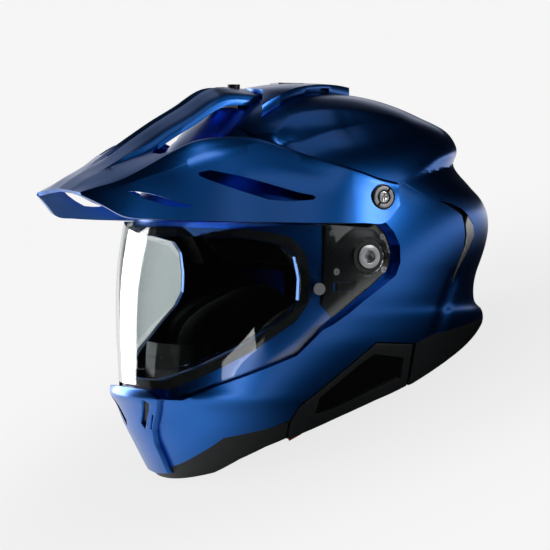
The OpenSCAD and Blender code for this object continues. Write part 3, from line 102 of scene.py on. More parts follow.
SHIELD = (
    (0.75, 0.72, 0.60, 0.64), (0.6, 0.84, 0.74, 0.78), (0.45, 0.90, 0.86, 0.86),
    (0.2, 0.955, 0.942, 0.90), (0.08, 0.966, 0.962, 0.92), (-0.088, 0.972, 0.985, 0.92),
    (-0.27, 0.962, 0.992, 0.90), (-0.403, 0.942, 0.988, 0.88), (-0.52, 0.91, 0.983, 0.86),
    (-0.61, 0.88, 0.98, 0.84), (-0.7, 0.84, 0.96, 0.8),
)


class Join(Enum):
    """Ways to combine two closed forms."""
    CUT = "DIFFERENCE"
    KEEP_COMMON = "INTERSECT"
    ADD = "UNION"


class View(Enum):
    """Planes that an outline is drawn in: the axes that hold it, then the axis that it runs along."""
    SIDE = (1, 2, 0)
    FRONT = (0, 2, 1)
    TOP = (0, 1, 2)


def side_place(share: tuple[float, float]) -> tuple[float, float]:
    """Turn a side-view share of the shell's reach and height into a place (y, z)."""
    y = share[0] * (SHELL_FRONT if share[0] < 0 else SHELL_REAR)
    z = share[1] * (CHIN if share[1] < 0 else CROWN)
    return y, z


def side_places(shares: Outline) -> list[tuple[float, float]]:
    """Turn side-view shares into places (y, z)."""
    return [side_place(share) for share in shares]


def grown(places: Sequence[tuple[float, float]], reach: float) -> list[tuple[float, float]]:
    """Move a closed outline outwards, each edge by the same distance.

    Args:
        places: Corners of the outline in order.
        reach: Distance that the edges move.

    Returns:
        The corners of the wider outline.
    """
    points = np.array(places)
    edges = np.roll(points, -1, axis=0) - points
    turn = np.sign(np.sum(edges[:, 1] * points[:, 0] - edges[:, 0] * points[:, 1]))
    after = turn * np.column_stack([edges[:, 1], -edges[:, 0]]) / np.linalg.norm(edges, axis=1)[:, None]
    before = np.roll(after, 1, axis=0)
    spread = 1 + np.sum(after * before, axis=1)
    return [tuple(place) for place in points + reach * (after + before) / spread[:, None]]


def smooth_line(knots: np.ndarray, steps: int, mirrored: bool = False) -> np.ndarray:
    """Run a smooth curve through knots.

    Args:
        knots: One row of coordinates per knot.
        steps: Points laid between two knots.
        mirrored: The curve is level at its first knot, as over the top of a dome.

    Returns:
        The points of the curve, the last knot included.
    """
    flip = np.array([1.0] + [-1.0] * (knots.shape[1] - 1))
    before = knots[1] * flip if mirrored else 2 * knots[0] - knots[1]
    after = 2 * knots[-1] - knots[-2]
    line = np.vstack([before, knots, after])
    spans = np.diff(line, axis=0)
    lengths = np.maximum(np.linalg.norm(spans, axis=1), 1e-9)[:, None]
    slopes = spans / lengths
    tangents = (slopes[1:] * lengths[:-1] + slopes[:-1] * lengths[1:]) / (lengths[1:] + lengths[:-1])
    pieces = []
    for index in range(len(knots) - 1):
        t = np.linspace(0, 1, steps, endpoint=False)[:, None]
        reach = lengths[index + 1]
        pieces.append(
            (2 * t ** 3 - 3 * t ** 2 + 1) * knots[index]
            + (t ** 3 - 2 * t ** 2 + t) * tangents[index] * reach
            + (3 * t ** 2 - 2 * t ** 3) * knots[index + 1]
            + (t ** 3 - t ** 2) * tangents[index + 1] * reach
        )
    return np.vstack(pieces + [knots[-1:]])


@dataclass(frozen=True)
class Sections:
    """Level sections of a smooth body: rows of height, half width, front and rear reach as shares."""
    rows: tuple[tuple[float, float, float, float], ...]
    domed: bool = True
    half: float = SHELL_HALF
    front: float = SHELL_FRONT
    rear: float = SHELL_REAR
    top: float = CROWN
    low: float = CHIN

    def profile(self, inset: float = 0.0) -> np.ndarray:
        """Return dense rows of height, half width, front reach and rear reach in metres.

        Args:
            inset: Depth of the body below the table's own surface, negative when it stands proud.
        """
        fall = 1 - inset / self.top
        knots = np.array([
            (row[0] * (self.top * fall if row[0] > 0 else self.low), self.half * row[1] - inset,
             self.front * row[2] - inset, self.rear * row[3] - inset)
            for row in self.rows
        ])
        knots[:, 1:] = np.maximum(knots[:, 1:], 2 * MM)
        if self.domed:
            knots = np.vstack([(self.top - inset, 0, 0, 0), knots])
        return smooth_line(knots, 12, mirrored=self.domed)

    def half_width(self, y: np.ndarray, z: np.ndarray, inset: float = 0.0) -> np.ndarray:
        """Return the distance from the middle to the surface at places in side view."""
        table = self.profile(inset)[::-1]
        half = np.interp(z, table[:, 0], table[:, 1])
        front, rear = (np.interp(z, table[:, 0], table[:, k]) for k in (2, 3))
        reach = np.where(y < 0, front, rear)
        power = np.where(y < 0, FRONT_SQUARE, REAR_SQUARE)
        return half * np.maximum(1 - np.abs(y / reach) ** (2 / power), 0) ** (power / 2)


@dataclass(frozen=True)
class Step:
    """A soft step in the skin: it sinks from an upper line to a lower one, then comes back."""
    upper: Outline
    lower: Outline
    depth: float
    recover: float
    fade: Outline

    def sink(self, y: np.ndarray, z: np.ndarray) -> np.ndarray:
        """Return how far the skin sinks at places in side view."""
        high = np.interp(y, [p[0] * MM for p in self.upper], [p[1] * MM for p in self.upper])
        low = np.interp(y, [p[0] * MM for p in self.lower], [p[1] * MM for p in self.lower])
        amount = np.interp(y, [p[0] * MM for p in self.fade], [p[1] for p in self.fade], left=0, right=0)
        down = np.clip((high - z) / np.maximum(high - low, 0.1 * MM), 0, 1)
        back = np.clip(1 - (low - z) / self.recover, 0, 1) ** 2
        return self.depth * amount * np.where(z > low, down, back)


@dataclass(frozen=True)
class Groove:
    """A narrow groove that follows a line in side view."""
    line: Outline
    depth: float
    width: float

    def sink(self, y: np.ndarray, z: np.ndarray) -> np.ndarray:
        """Return how far the skin sinks at places in side view."""
        nearest = np.full(y.shape, 1.0)
        points = np.array(self.line) * MM
        for start, stop in zip(points[:-1], points[1:]):
            way = stop - start
            t = np.clip(((y - start[0]) * way[0] + (z - start[1]) * way[1]) / (way @ way), 0, 1)
            nearest = np.minimum(nearest, np.hypot(y - start[0] - t * way[0], z - start[1] - t * way[1]))
        return self.depth * np.clip(1.5 - nearest / self.width, 0, 1)


def deselect() -> None:
    """Deselect every object."""
    bpy.ops.object.select_all(action="DESELECT")


def make_active(obj: bpy.types.Object) -> None:
    """Select one object alone and make it active."""
    deselect()
    obj.select_set(True)
    bpy.context.view_layer.objects.active = obj


def read_points(obj: bpy.types.Object) -> np.ndarray:
    """Return an object's vertices as rows of x, y, z."""
    values = np.empty(len(obj.data.vertices) * 3)
    obj.data.vertices.foreach_get("co", values)
    return values.reshape(-1, 3)


def write_points(obj: bpy.types.Object, points: np.ndarray) -> None:
    """Place an object's vertices."""
    obj.data.vertices.foreach_set("co", np.ascontiguousarray(points, dtype=float).ravel())
    obj.data.update()


def edit(obj: bpy.types.Object, *steps: Callable[[], object]) -> None:
    """Run operators on the whole of an object in edit mode."""
    make_active(obj)
    bpy.ops.object.mode_set(mode="EDIT")
    bpy.ops.mesh.select_all(action="SELECT")
    for step in steps:
        step()
    bpy.ops.object.mode_set(mode="OBJECT")


def outward(obj: bpy.types.Object, merge: float = 0.001 * MM) -> None:
    """Merge doubled points and turn the faces outward."""
    edit(obj, lambda: bpy.ops.mesh.remove_doubles(threshold=merge),
         lambda: bpy.ops.mesh.normals_make_consistent(inside=False))


def drop_specks(obj: bpy.types.Object, fewest: int = 200) -> None:
    """Delete the loose slivers that a cut leaves behind.

    Args:
        obj: The piece, its doubled points already merged.
        fewest: Loose parts with fewer points than this are slivers.
    """
    group = np.arange(len(obj.data.vertices))
    ends = np.empty(2 * len(obj.data.edges), dtype=int)
    obj.data.edges.foreach_get("vertices", ends)
    first, second = ends[::2], ends[1::2]
    while not np.array_equal(group[first], group[second]):
        least = np.minimum(group[first], group[second])
        np.minimum.at(group, first, least)
        np.minimum.at(group, second, least)
        group = group[group]
    counts = np.bincount(group, minlength=len(group))
    form = bmesh.new()
    form.from_mesh(obj.data)
    specks = [point for point in form.verts if counts[group[point.index]] < fewest]
    bmesh.ops.delete(form, geom=specks, context="VERTS")
    form.to_mesh(obj.data)
    form.free()


def apply_modifiers(obj: bpy.types.Object) -> None:
    """Apply every modifier of an object in turn."""
    make_active(obj)
    for modifier in list(obj.modifiers):
        bpy.ops.object.modifier_apply(modifier=modifier.name)


def combine(target: bpy.types.Object, tool: bpy.types.Object, how: Join, keep: bool = False) -> None:
    """Combine a closed form with another.

    Args:
        target: The form that is changed.
        tool: The other form.
        how: What is kept of the two.
        keep: The tool stays for another use.
    """
    for solver in ("MANIFOLD", "EXACT"):
        before = len(target.data.vertices), len(target.data.polygons)
        modifier = target.modifiers.new("combine", "BOOLEAN")
        modifier.operation = how.value
        modifier.object = tool
        modifier.solver = solver
        apply_modifiers(target)
        if (len(target.data.vertices), len(target.data.polygons)) != before:
            break
    else:
        LOG.info("%s and %s share nothing", target.name, tool.name)
    if not keep:
        bpy.data.objects.remove(tool)


def duplicate(obj: bpy.types.Object, name: str, flip: bool = False) -> bpy.types.Object:
    """Copy a piece with its own mesh, to the other side if asked."""
    copy = obj.copy()
    copy.data = obj.data.copy()
    copy.name = name
    bpy.context.scene.collection.objects.link(copy)
    if flip:
        copy.data.transform(Matrix.Diagonal((-1, 1, 1, 1)))
        copy.data.flip_normals()
    return copy


def soften(obj: bpy.types.Object, width: float, angle: float = 35, segments: int = 2) -> None:
    """Round an object's sharp edges."""
    bevel = obj.modifiers.new("round", "BEVEL")
    bevel.width = width
    bevel.segments = segments
    bevel.limit_method = "ANGLE"
    bevel.angle_limit = math.radians(angle)
    bevel.use_clamp_overlap = True
    apply_modifiers(obj)


def shade(obj: bpy.types.Object, angle: float = 30) -> None:
    """Shade an object smooth, with the edges above an angle left sharp."""
    make_active(obj)
    bpy.ops.object.shade_smooth_by_angle(angle=math.radians(angle))


def prism(name: str, outline: Outline, start: float, stop: float, view: View) -> bpy.types.Object:
    """Extrude an outline into a closed prism.

    Args:
        name: The object's name.
        outline: Places in the view's plane.
        start: Where the prism starts along the third axis.
        stop: Where it stops.
        view: The plane that the outline is drawn in.
    """
    deselect()
    bpy.ops.mesh.primitive_circle_add(vertices=len(outline), radius=0.1, fill_type="NGON")
    obj = bpy.context.object
    obj.name = name
    first, second, third = view.value
    points = np.zeros((len(outline), 3))
    points[:, first] = [p[0] for p in outline]
    points[:, second] = [p[1] for p in outline]
    points[:, third] = start
    write_points(obj, points)
    way = [0.0, 0.0, 0.0]
    way[third] = stop - start
    edit(obj, lambda: bpy.ops.mesh.extrude_region_move(TRANSFORM_OT_translate={"value": tuple(way)}),
         lambda: bpy.ops.mesh.select_all(action="SELECT"),
         lambda: bpy.ops.mesh.normals_make_consistent(inside=False))
    return obj


def side_prism(name: str, outline: Outline, start: float = -ACROSS, stop: float = ACROSS) -> bpy.types.Object:
    """Cut a side-view outline right across the helmet."""
    return prism(name, outline, start, stop, View.SIDE)


def grid(name: str, columns: int, rows: int) -> tuple[bpy.types.Object, np.ndarray, np.ndarray]:
    """Add a grid and tell which column and row each point has."""
    deselect()
    bpy.ops.mesh.primitive_grid_add(x_subdivisions=columns, y_subdivisions=rows, size=2)
    obj = bpy.context.object
    obj.name = name
    points = read_points(obj)
    column = np.rint((points[:, 0] + 1) / 2 * columns).astype(int)
    row = np.rint((points[:, 1] + 1) / 2 * rows).astype(int)
    return obj, column, row


def tube(name: str, rings: np.ndarray, shut: bool = True) -> bpy.types.Object:
    """Build a closed form through rings of points.

    Args:
        name: The object's name.
        rings: Points as rings by points by coordinates.
        shut: The ends are closed; otherwise the last ring joins the first.
    """
    if not shut:
        rings = np.concatenate([rings, rings[:1]])
    obj, column, row = grid(name, rings.shape[1], rings.shape[0] - 1)
    write_points(obj, rings[row, column % rings.shape[1]])
    outward(obj)
    if shut:
        edit(obj, lambda: bpy.ops.mesh.fill_holes(sides=0),
             lambda: bpy.ops.mesh.normals_make_consistent(inside=False))
    return obj


def body(name: str, sections: Sections, inset: float, columns: int, rings: int,
         relief: Sequence[Step | Groove] = ()) -> bpy.types.Object:
    """Shape a sphere into a closed body that follows level sections.

    Args:
        name: The object's name.
        sections: The level sections.
        inset: Depth of the body below them.
        columns: Points round the body.
        rings: Levels of the body.
        relief: Steps and grooves of its surface.
    """
    table = sections.profile(inset)
    run = np.concatenate([[0], np.cumsum(np.linalg.norm(np.diff(table, axis=0), axis=1))])
    spots = np.linspace(0, run[-1], rings)
    height, half, front, rear = (np.interp(spots, run, table[:, k])[:, None] for k in range(4))
    angle = np.linspace(0, 2 * math.pi, columns, endpoint=False)[None, :]
    across, along = np.sin(angle), np.cos(angle)
    power = np.where(along > 0, FRONT_SQUARE, REAR_SQUARE)
    reach = np.where(along > 0, front, rear)
    points = np.stack([
        half * np.sign(across) * np.abs(across) ** power,
        -reach * np.sign(along) * np.abs(along) ** power,
        height + 0 * angle,
    ], axis=2)
    obj = tube(name, points)
    if relief:
        points = read_points(obj)
        normals = np.empty(len(points) * 3)
        obj.data.vertex_normals.foreach_get("vector", normals)
        sink = sum(piece.sink(points[:, 1], points[:, 2]) for piece in relief)
        write_points(obj, points - normals.reshape(-1, 3) * sink[:, None])
    return obj


def panel(name: str, sections: Sections, places: Outline, proud: float, depth: float) -> bpy.types.Object:
    """Build a curved panel of the left side that follows level sections.

    Args:
        name: The object's name.
        sections: The level sections.
        places: The panel's outline in side view.
        proud: How far its face stands off the sections.
        depth: How far its back lies below them.
    """
    step = 2 * MM
    low = np.min(places, axis=0) - step
    high = np.max(places, axis=0) + step
    columns, rows = (int(math.ceil(span / step)) for span in high - low)
    obj, column, row = grid(name, columns, rows)
    y = low[0] + (high[0] - low[0]) * column / columns
    z = low[1] + (high[1] - low[1]) * row / rows
    write_points(obj, np.column_stack([sections.half_width(y, z, -proud), y, z]))
    thick = obj.modifiers.new("thick", "SOLIDIFY")
    thick.thickness = proud + depth
    thick.offset = -1
    apply_modifiers(obj)
    outward(obj)
    combine(obj, side_prism("panel_outline", places, 0.01, ACROSS), Join.KEEP_COMMON)
    return obj


def box(name: str, low: Sequence[float], high: Sequence[float]) -> bpy.types.Object:
    """Add a box between two corners."""
    outline = ((low[0], low[1]), (high[0], low[1]), (high[0], high[1]), (low[0], high[1]))
    return prism(name, outline, low[2], high[2], View.TOP)


def turned(name: str, profile: Outline, place: tuple[float, float], sides: int = 64) -> bpy.types.Object:
    """Turn a closed profile of places (x, radius) about a line along X."""
    turns = np.linspace(0, 2 * math.pi, sides, endpoint=False)
    rings = np.array([
        [(x, place[0] + radius * math.cos(turn), place[1] + radius * math.sin(turn)) for x, radius in profile]
        for turn in turns
    ])
    return tube(name, rings, shut=False)


def with_twin(obj: bpy.types.Object, name: str) -> bpy.types.Object:
    """Join a piece of the left side and its copy on the right into one object."""
    twin = duplicate(obj, name + "_right", flip=True)
    make_active(obj)
    twin.select_set(True)
    bpy.ops.object.join()
    obj.name = name
    return obj


def cylinder(name: str, radius: float, start: Sequence[float], stop: Sequence[float],
             sides: int = 48) -> bpy.types.Object:
    """Add a cylinder between two places."""
    a, b = Vector(start), Vector(stop)
    deselect()
    bpy.ops.mesh.primitive_cylinder_add(vertices=sides, radius=radius, depth=(b - a).length)
    obj = bpy.context.object
    obj.name = name
    turn = Vector((0, 0, 1)).rotation_difference(b - a).to_matrix().to_4x4()
    obj.data.transform(Matrix.Translation((a + b) / 2) @ turn)
    return obj


def rod(name: str, radius: float, start: float, stop: float, place: tuple[float, float] = (0, 0),
        sides: int = 48) -> bpy.types.Object:
    """Add a cylinder along X at a place (y, z) of the side view."""
    return cylinder(name, radius, (start, *place), (stop, *place), sides)


def lay(obj: bpy.types.Object) -> None:
    """Lay a piece shaped in the worn frame on the table."""
    obj.data.transform(TABLE)
    obj.data.update()


class Effects:
    """Shader node groups that several finishes share."""

    def __init__(self) -> None:
        """Build each group once."""
        self.grain = self._grain()
        self.weave = self._weave()

    def _start(self, name: str, inputs: Sequence[tuple[str, float]]) -> bpy.types.NodeTree:
        """Start a group with number inputs, a mask output and a height output."""
        tree = bpy.data.node_groups.new(name, "ShaderNodeTree")
        tree.interface.new_socket(name="Place", in_out="INPUT", socket_type="NodeSocketVector")
        for label, value in inputs:
            socket = tree.interface.new_socket(name=label, in_out="INPUT", socket_type="NodeSocketFloat")
            socket.default_value = value
        for label in ("Mask", "Height"):
            tree.interface.new_socket(name=label, in_out="OUTPUT", socket_type="NodeSocketFloat")
        tree.nodes.new("NodeGroupInput").name = "in"
        tree.nodes.new("NodeGroupOutput").name = "out"
        return tree

    def _grain(self) -> bpy.types.NodeTree:
        """Build a fine grain: noise for the height and a coarse cloud for the mask."""
        tree = self._start("fine_grain", (("Scale", 900.0), ("Cloud", 14.0)))
        source, target = tree.nodes["in"], tree.nodes["out"]
        fine = tree.nodes.new("ShaderNodeTexNoise")
        cloud = tree.nodes.new("ShaderNodeTexNoise")
        fine.inputs["Detail"].default_value = 2
        cloud.inputs["Detail"].default_value = 3
        for node, scale in ((fine, "Scale"), (cloud, "Cloud")):
            tree.links.new(source.outputs["Place"], node.inputs["Vector"])
            tree.links.new(source.outputs[scale], node.inputs["Scale"])
        tree.links.new(cloud.outputs["Fac"], target.inputs["Mask"])
        tree.links.new(fine.outputs["Fac"], target.inputs["Height"])
        return tree

    def _weave(self) -> bpy.types.NodeTree:
        """Build a weave of two crossing sets of threads."""
        tree = self._start("thread_weave", (("Scale", 500.0), ("Cloud", 30.0)))
        source, target = tree.nodes["in"], tree.nodes["out"]
        waves = []
        for direction in ("X", "Z"):
            wave = tree.nodes.new("ShaderNodeTexWave")
            wave.bands_direction = direction
            wave.inputs["Distortion"].default_value = 0.6
            tree.links.new(source.outputs["Place"], wave.inputs["Vector"])
            tree.links.new(source.outputs["Scale"], wave.inputs["Scale"])
            waves.append(wave)
        both = tree.nodes.new("ShaderNodeMath")
        both.operation = "MAXIMUM"
        tree.links.new(waves[0].outputs["Fac"], both.inputs[0])
        tree.links.new(waves[1].outputs["Fac"], both.inputs[1])
        cloud = tree.nodes.new("ShaderNodeTexNoise")
        tree.links.new(source.outputs["Place"], cloud.inputs["Vector"])
        tree.links.new(source.outputs["Cloud"], cloud.inputs["Scale"])
        tree.links.new(cloud.outputs["Fac"], target.inputs["Mask"])
        tree.links.new(both.outputs["Value"], target.inputs["Height"])
        return tree


@dataclass(frozen=True)
class Finish:
    """A finish of the surface: two near tones, two near roughnesses and a fine relief."""
    slot: str
    dark: tuple[float, float, float]
    light: tuple[float, float, float]
    smoothest: float
    roughest: float
    metallic: float = 0.0
    coat: float = 0.0
    coat_roughness: float = 0.3
    relief: float = 0.02
    distance: float = 0.2 * MM
    scale: float = 900.0
    cloud: float = 14.0
    woven: bool = False
    sheen: float = 0.0
    transmission: float = 0.0
    ior: float = 1.5

    def make(self, effects: Effects) -> bpy.types.Material:
        """Build the material of this finish."""
        material = bpy.data.materials.new("finish_" + self.slot)
        material.use_nodes = True
        nodes, links = material.node_tree.nodes, material.node_tree.links
        shader = nodes["Principled BSDF"]
        place = nodes.new("ShaderNodeTexCoord")
        effect = nodes.new("ShaderNodeGroup")
        effect.node_tree = effects.weave if self.woven else effects.grain
        effect.inputs["Scale"].default_value = self.scale
        effect.inputs["Cloud"].default_value = self.cloud
        links.new(place.outputs["Object"], effect.inputs["Place"])
        tone = nodes.new("ShaderNodeMix")
        tone.data_type = "RGBA"
        tone.inputs["A"].default_value = (*self.dark, 1)
        tone.inputs["B"].default_value = (*self.light, 1)
        links.new(effect.outputs["Mask"], tone.inputs["Factor"])
        links.new(tone.outputs["Result"], shader.inputs["Base Color"])
        rough = nodes.new("ShaderNodeMapRange")
        rough.inputs["To Min"].default_value = self.smoothest
        rough.inputs["To Max"].default_value = self.roughest
        links.new(effect.outputs["Mask"], rough.inputs["Value"])
        links.new(rough.outputs["Result"], shader.inputs["Roughness"])
        bump = nodes.new("ShaderNodeBump")
        bump.inputs["Strength"].default_value = self.relief
        bump.inputs["Distance"].default_value = self.distance
        links.new(effect.outputs["Height"], bump.inputs["Height"])
        links.new(bump.outputs["Normal"], shader.inputs["Normal"])
        shader.inputs["Metallic"].default_value = self.metallic
        shader.inputs["Coat Weight"].default_value = self.coat
        shader.inputs["Coat Roughness"].default_value = self.coat_roughness
        shader.inputs["Sheen Weight"].default_value = self.sheen
        shader.inputs["Transmission Weight"].default_value = self.transmission
        shader.inputs["IOR"].default_value = self.ior
        return material


FINISHES = (
    Finish("shell_blue", (0.008, 0.120, 0.480), (0.012, 0.145, 0.560), 0.28, 0.33, metallic=1.0, coat=0.45,
           coat_roughness=0.16, relief=0.02, scale=2600),
    Finish("peak_blue", (0.008, 0.122, 0.485), (0.012, 0.147, 0.565), 0.28, 0.33, metallic=1.0, coat=0.45,
           coat_roughness=0.16, relief=0.02, scale=2600),
    Finish("black_trim", (0.010, 0.013, 0.014), (0.018, 0.022, 0.023), 0.42, 0.52, relief=0.25, scale=1500),
    Finish("gloss_black", (0.003, 0.003, 0.004), (0.006, 0.006, 0.007),
           0.08, 0.14, coat=0.6, coat_roughness=0.05,
           relief=0.01),
    Finish("black_plastic", (0.004, 0.005, 0.006), (0.008, 0.009, 0.010),
           0.22, 0.32, relief=0.05, scale=1300),
    Finish("foam_grey", (0.012, 0.012, 0.013), (0.022, 0.022, 0.024), 0.8, 0.9, relief=0.6, scale=420),
    Finish("fabric_dark", (0.010, 0.011, 0.012), (0.020, 0.021, 0.023),
           0.8, 0.95, relief=0.5, scale=420, cloud=40,
           woven=True, sheen=0.3),
    Finish("mesh_fabric", (0.012, 0.013, 0.014), (0.028, 0.029, 0.031),
           0.75, 0.9, relief=0.7, scale=260, cloud=60,
           woven=True, sheen=0.2),
    Finish("rubber_black", (0.007, 0.007, 0.008), (0.012, 0.012, 0.013), 0.5, 0.62, relief=0.1, scale=700),
    Finish("shield_clear", (0.86, 0.90, 0.91), (0.90, 0.93, 0.94),
           0.0, 0.02, relief=0.0, transmission=1.0, ior=1.5),
    Finish("insert_clear", (0.88, 0.91, 0.90), (0.91, 0.93, 0.92),
           0.01, 0.03, relief=0.0, transmission=1.0, ior=1.45),
    Finish("silver_plastic", (0.46, 0.47, 0.49), (0.55, 0.56, 0.58), 0.28, 0.38, metallic=0.9, relief=0.05),
    Finish("bright_steel", (0.50, 0.50, 0.51), (0.60, 0.60, 0.61), 0.15, 0.28, metallic=1.0, relief=0.05),
    Finish("screw_grey", (0.05, 0.053, 0.06), (0.09, 0.094, 0.10), 0.3, 0.4, metallic=0.8, relief=0.05),
    Finish("lever_grey", (0.012, 0.013, 0.014), (0.02, 0.021, 0.022), 0.35, 0.5, relief=0.1, scale=1300),
    Finish("webbing_black", (0.006, 0.006, 0.007), (0.014, 0.014, 0.016),
           0.7, 0.85, relief=0.8, scale=340, cloud=50,
           woven=True, sheen=0.15),
    Finish("tab_red", (0.42, 0.014, 0.010), (0.50, 0.020, 0.014), 0.6, 0.75, relief=0.5, scale=340, cloud=50,
           woven=True),
)


class Workshop:
    """Holds the finishes and finishes each piece: lays it on the table, shades it, dresses it and lets it
    ride.
    """

    def __init__(self) -> None:
        """Build every finish and dress the solids that stay."""
        effects = Effects()
        self.finishes = {finish.slot: finish.make(effects) for finish in FINISHES}
        for part in frame["record"]["subparts"]:
            node = frame["nodes"].get(part["node"])
            if node is not None:
                for place in node.material_slots:
                    place.material = self.finishes[part["material_slot"]]

    def hand_over(self, obj: bpy.types.Object, slot: str, ride: str = "helmet",
                  nodes: Sequence[str] = (), angle: float = 30, laid: bool = False) -> bpy.types.Object:
        """Finish a piece: lay it on the table, shade it, dress it and let it ride.

        Args:
            obj: The piece.
            slot: The record's material slot.
            ride: The body that it rides on.
            nodes: The solids that it stands for.
            angle: Edges above this angle stay sharp.
            laid: The piece already lies on the table.
        """
        if not laid:
            lay(obj)
        shade(obj, angle)
        obj.data.materials.clear()
        obj.data.materials.append(self.finishes[slot])
        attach(obj, ride)
        if nodes:
            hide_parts(*nodes)
        LOG.info("%s: %d faces, %s", obj.name, len(obj.data.polygons), slot)
        return obj

    def hand_over_pair(self, obj: bpy.types.Object, slot: str, ride: str = "helmet",
                       nodes: Sequence[str] = (), angle: float = 30, rides: Sequence[str] = ()) -> None:
        """Finish a piece of the left side and its copy on the right.

        Args:
            obj: The left piece, whose name ends in left.
            slot: The record's material slot.
            ride: The body that both ride on.
            nodes: Stems of the solids that the pair stands for.
            angle: Edges above this angle stay sharp.
            rides: The bodies of the left and the right piece, where they differ.
        """
        twin = duplicate(obj, obj.name.replace("left", "right"), flip=True)
        for piece, side, own in ((obj, "left", 0), (twin, "right", 1)):
            own_nodes = [f"{stem}_{side}" for stem in nodes]
            self.hand_over(piece, slot, rides[own] if rides else ride, own_nodes, angle)


@dataclass
class Shell:
    """The moulded shell with its recess for the face shield, and the trims along its rim."""
    shop: Workshop
    columns: int = 256
    rings: int = 180
    lap: float = 0.2 * MM
    merge: float = 0.01 * MM
    eyeport: Outline = ((-1.3, 0.13), (-0.6, 0.11), (-0.43, 0.07), (-0.375, 0), (-0.355, -0.09),
                        (-0.36, -0.18), (-0.41, -0.24), (-0.6, -0.36), (-0.8, -0.47), (-0.9, -0.526),
                        (-1.3, -0.546))
    recess: Outline = ((-1.3, 0.24), (-0.52, 0.27), (-0.46, 0.4), (-0.38, 0.5), (-0.19, 0.5), (-0.06, 0.41),
                       (0.01, 0.31), (0.07, 0.22), (0.13, 0.15), (0.165, 0.068), (0.167, -0.025),
                       (0.14, -0.08),
                       (0.04, -0.14), (-0.04, -0.185), (-0.11, -0.23), (-0.21, -0.285), (-0.26, -0.305),
                       (-0.384, -0.412), (-0.554, -0.475), (-0.733, -0.54), (-0.87, -0.605), (-1.3, -0.605))
    belt: Outline = ((1.2, -0.268), (0.84, -0.27), (0.371, -0.337), (0.277, -0.369), (0.039, -0.358),
                     (-0.159, -0.491), (-0.345, -0.62), (-0.383, -0.684), (-0.48, -0.72), (-0.672, -0.763),
                     (-0.759, -0.847), (-0.83, -0.93), (-1.2, -0.97))
    rim: Outline = ((1.2, -0.287), (0.92, -0.3), (0.741, -0.365), (0.531, -0.445), (0.28, -0.545),
                    (0.069, -0.611), (-0.144, -0.684), (-0.344, -0.75), (-0.479, -0.801), (-0.581, -0.855),
                    (-0.72, -0.955), (-0.8, -1), (-1.2, -1.02))
    relief: tuple = (
        Step(((-60, 93), (-41, 107.7), (-29, 110.9), (-16, 112.6), (1, 113.2), (13, 112.2), (26, 110.8),
              (60, 107)),
             ((-60, 85), (-50, 89.5), (-42, 90), (-34, 92.6), (-25, 95.8), (-13, 99), (1, 101.6), (13, 103.3),
              (35, 102.9), (60, 102)), 4.5 * MM, 30 * MM, ((-90, 1), (0, 1), (30, 0.6), (60, 0))),
        Step(((32, 57.6), (52, 66.3), (79, 75.6), (108, 82.9), (140, 88)),
             ((32, 57), (42, 58.1), (63, 64.8), (84, 68.9), (98, 70.8), (140, 74)), 3.5 * MM, 26 * MM,
             ((30, 0), (75, 1), (140, 1))),
        Groove(((84, -18), (77, -28), (70, -43), (63, -59.7)), 1.2 * MM, 5 * MM),
    )
    seam: Outline = ((30, 58.9), (39.2, 53.6), (49.3, 49), (59.6, 44), (66, 42.8), (66, 41.6), (59, 43),
                     (49, 48), (39, 52.6), (30, 57.6))

    def path_cutter(self, grow: float) -> bpy.types.Object:
        """Build what the face shield sweeps as it opens, a turn about the pivots."""
        inset = SHIELD_THICKNESS + SEAT_GAP + grow
        wide = SHELL_HALF * 0.972
        half = SHELL_HALF * 0.955 - inset
        reach = SHELL_FRONT * 0.942 - inset
        x = np.linspace(-wide, wide, 41)
        share = np.minimum(np.abs(x) / half, 1)
        ahead = reach * (1 - share ** (2 / FRONT_SQUARE)) ** (FRONT_SQUARE / 2)
        radius = np.hypot(ahead, 0.2 * CROWN)
        profile = np.column_stack([x, radius])
        profile = np.vstack([profile, (ACROSS, 0.191), (-ACROSS, 0.191)])
        spread = grow / CROWN
        turns = np.linspace(math.radians(-6) - spread, math.radians(53) + spread, 40)
        rings = np.array([
            np.column_stack([profile[:, 0], -profile[:, 1] * math.cos(t), profile[:, 1] * math.sin(t)])
            for t in turns
        ])
        return tube("shield_path", rings)

    def stepped(self, inset: float, columns: int, rings: int) -> bpy.types.Object:
        """Build the shell's body with the recess and path of the face shield taken out of it."""
        if inset:
            obj = body("shell_inside", Sections(INNER), inset, columns, rings)
        else:
            obj = body("shell", Sections(SKIN), 0, columns, rings, self.relief)
        recess = side_places(self.recess)
        combine(obj, side_prism("recess", grown(recess, inset), -ACROSS + inset, ACROSS - inset), Join.CUT)
        combine(obj, self.path_cutter(inset), Join.CUT)
        depth = SHIELD_THICKNESS + SEAT_GAP + inset
        seat = body("seat", Sections(SHIELD, domed=False), depth, columns, rings // 2)
        combine(seat, side_prism("recess_wide", grown(recess, inset + self.lap)), Join.KEEP_COMMON)
        combine(obj, seat, Join.ADD)
        return obj

    def above_belt(self) -> list[tuple[float, float]]:
        """Return the region of the painted shell in side view."""
        return side_places(tuple(self.belt) + ((-1.2, 1.2), (1.2, 1.2)))

    def trim(self, name: str, skin: bpy.types.Object, outline: Outline) -> bpy.types.Object:
        """Cut a strip out of a closed skin, inside a side-view outline."""
        obj = duplicate(skin, name)
        combine(obj, side_prism("trim_outline", side_places(outline)), Join.KEEP_COMMON)
        return obj

    def cut_outlets(self, shell: bpy.types.Object) -> None:
        """Cut the pockets of the rear air outlets and the seams that lead to them."""
        for line, depth in ((OUTLET, 3.6 * MM), (self.seam, 1.2 * MM)):
            pocket = panel("pocket", Sections(SKIN), [(y * MM, z * MM) for y, z in line], 8 * MM, depth)
            combine(shell, duplicate(pocket, "pocket_right", flip=True), Join.CUT)
            combine(shell, pocket, Join.CUT)

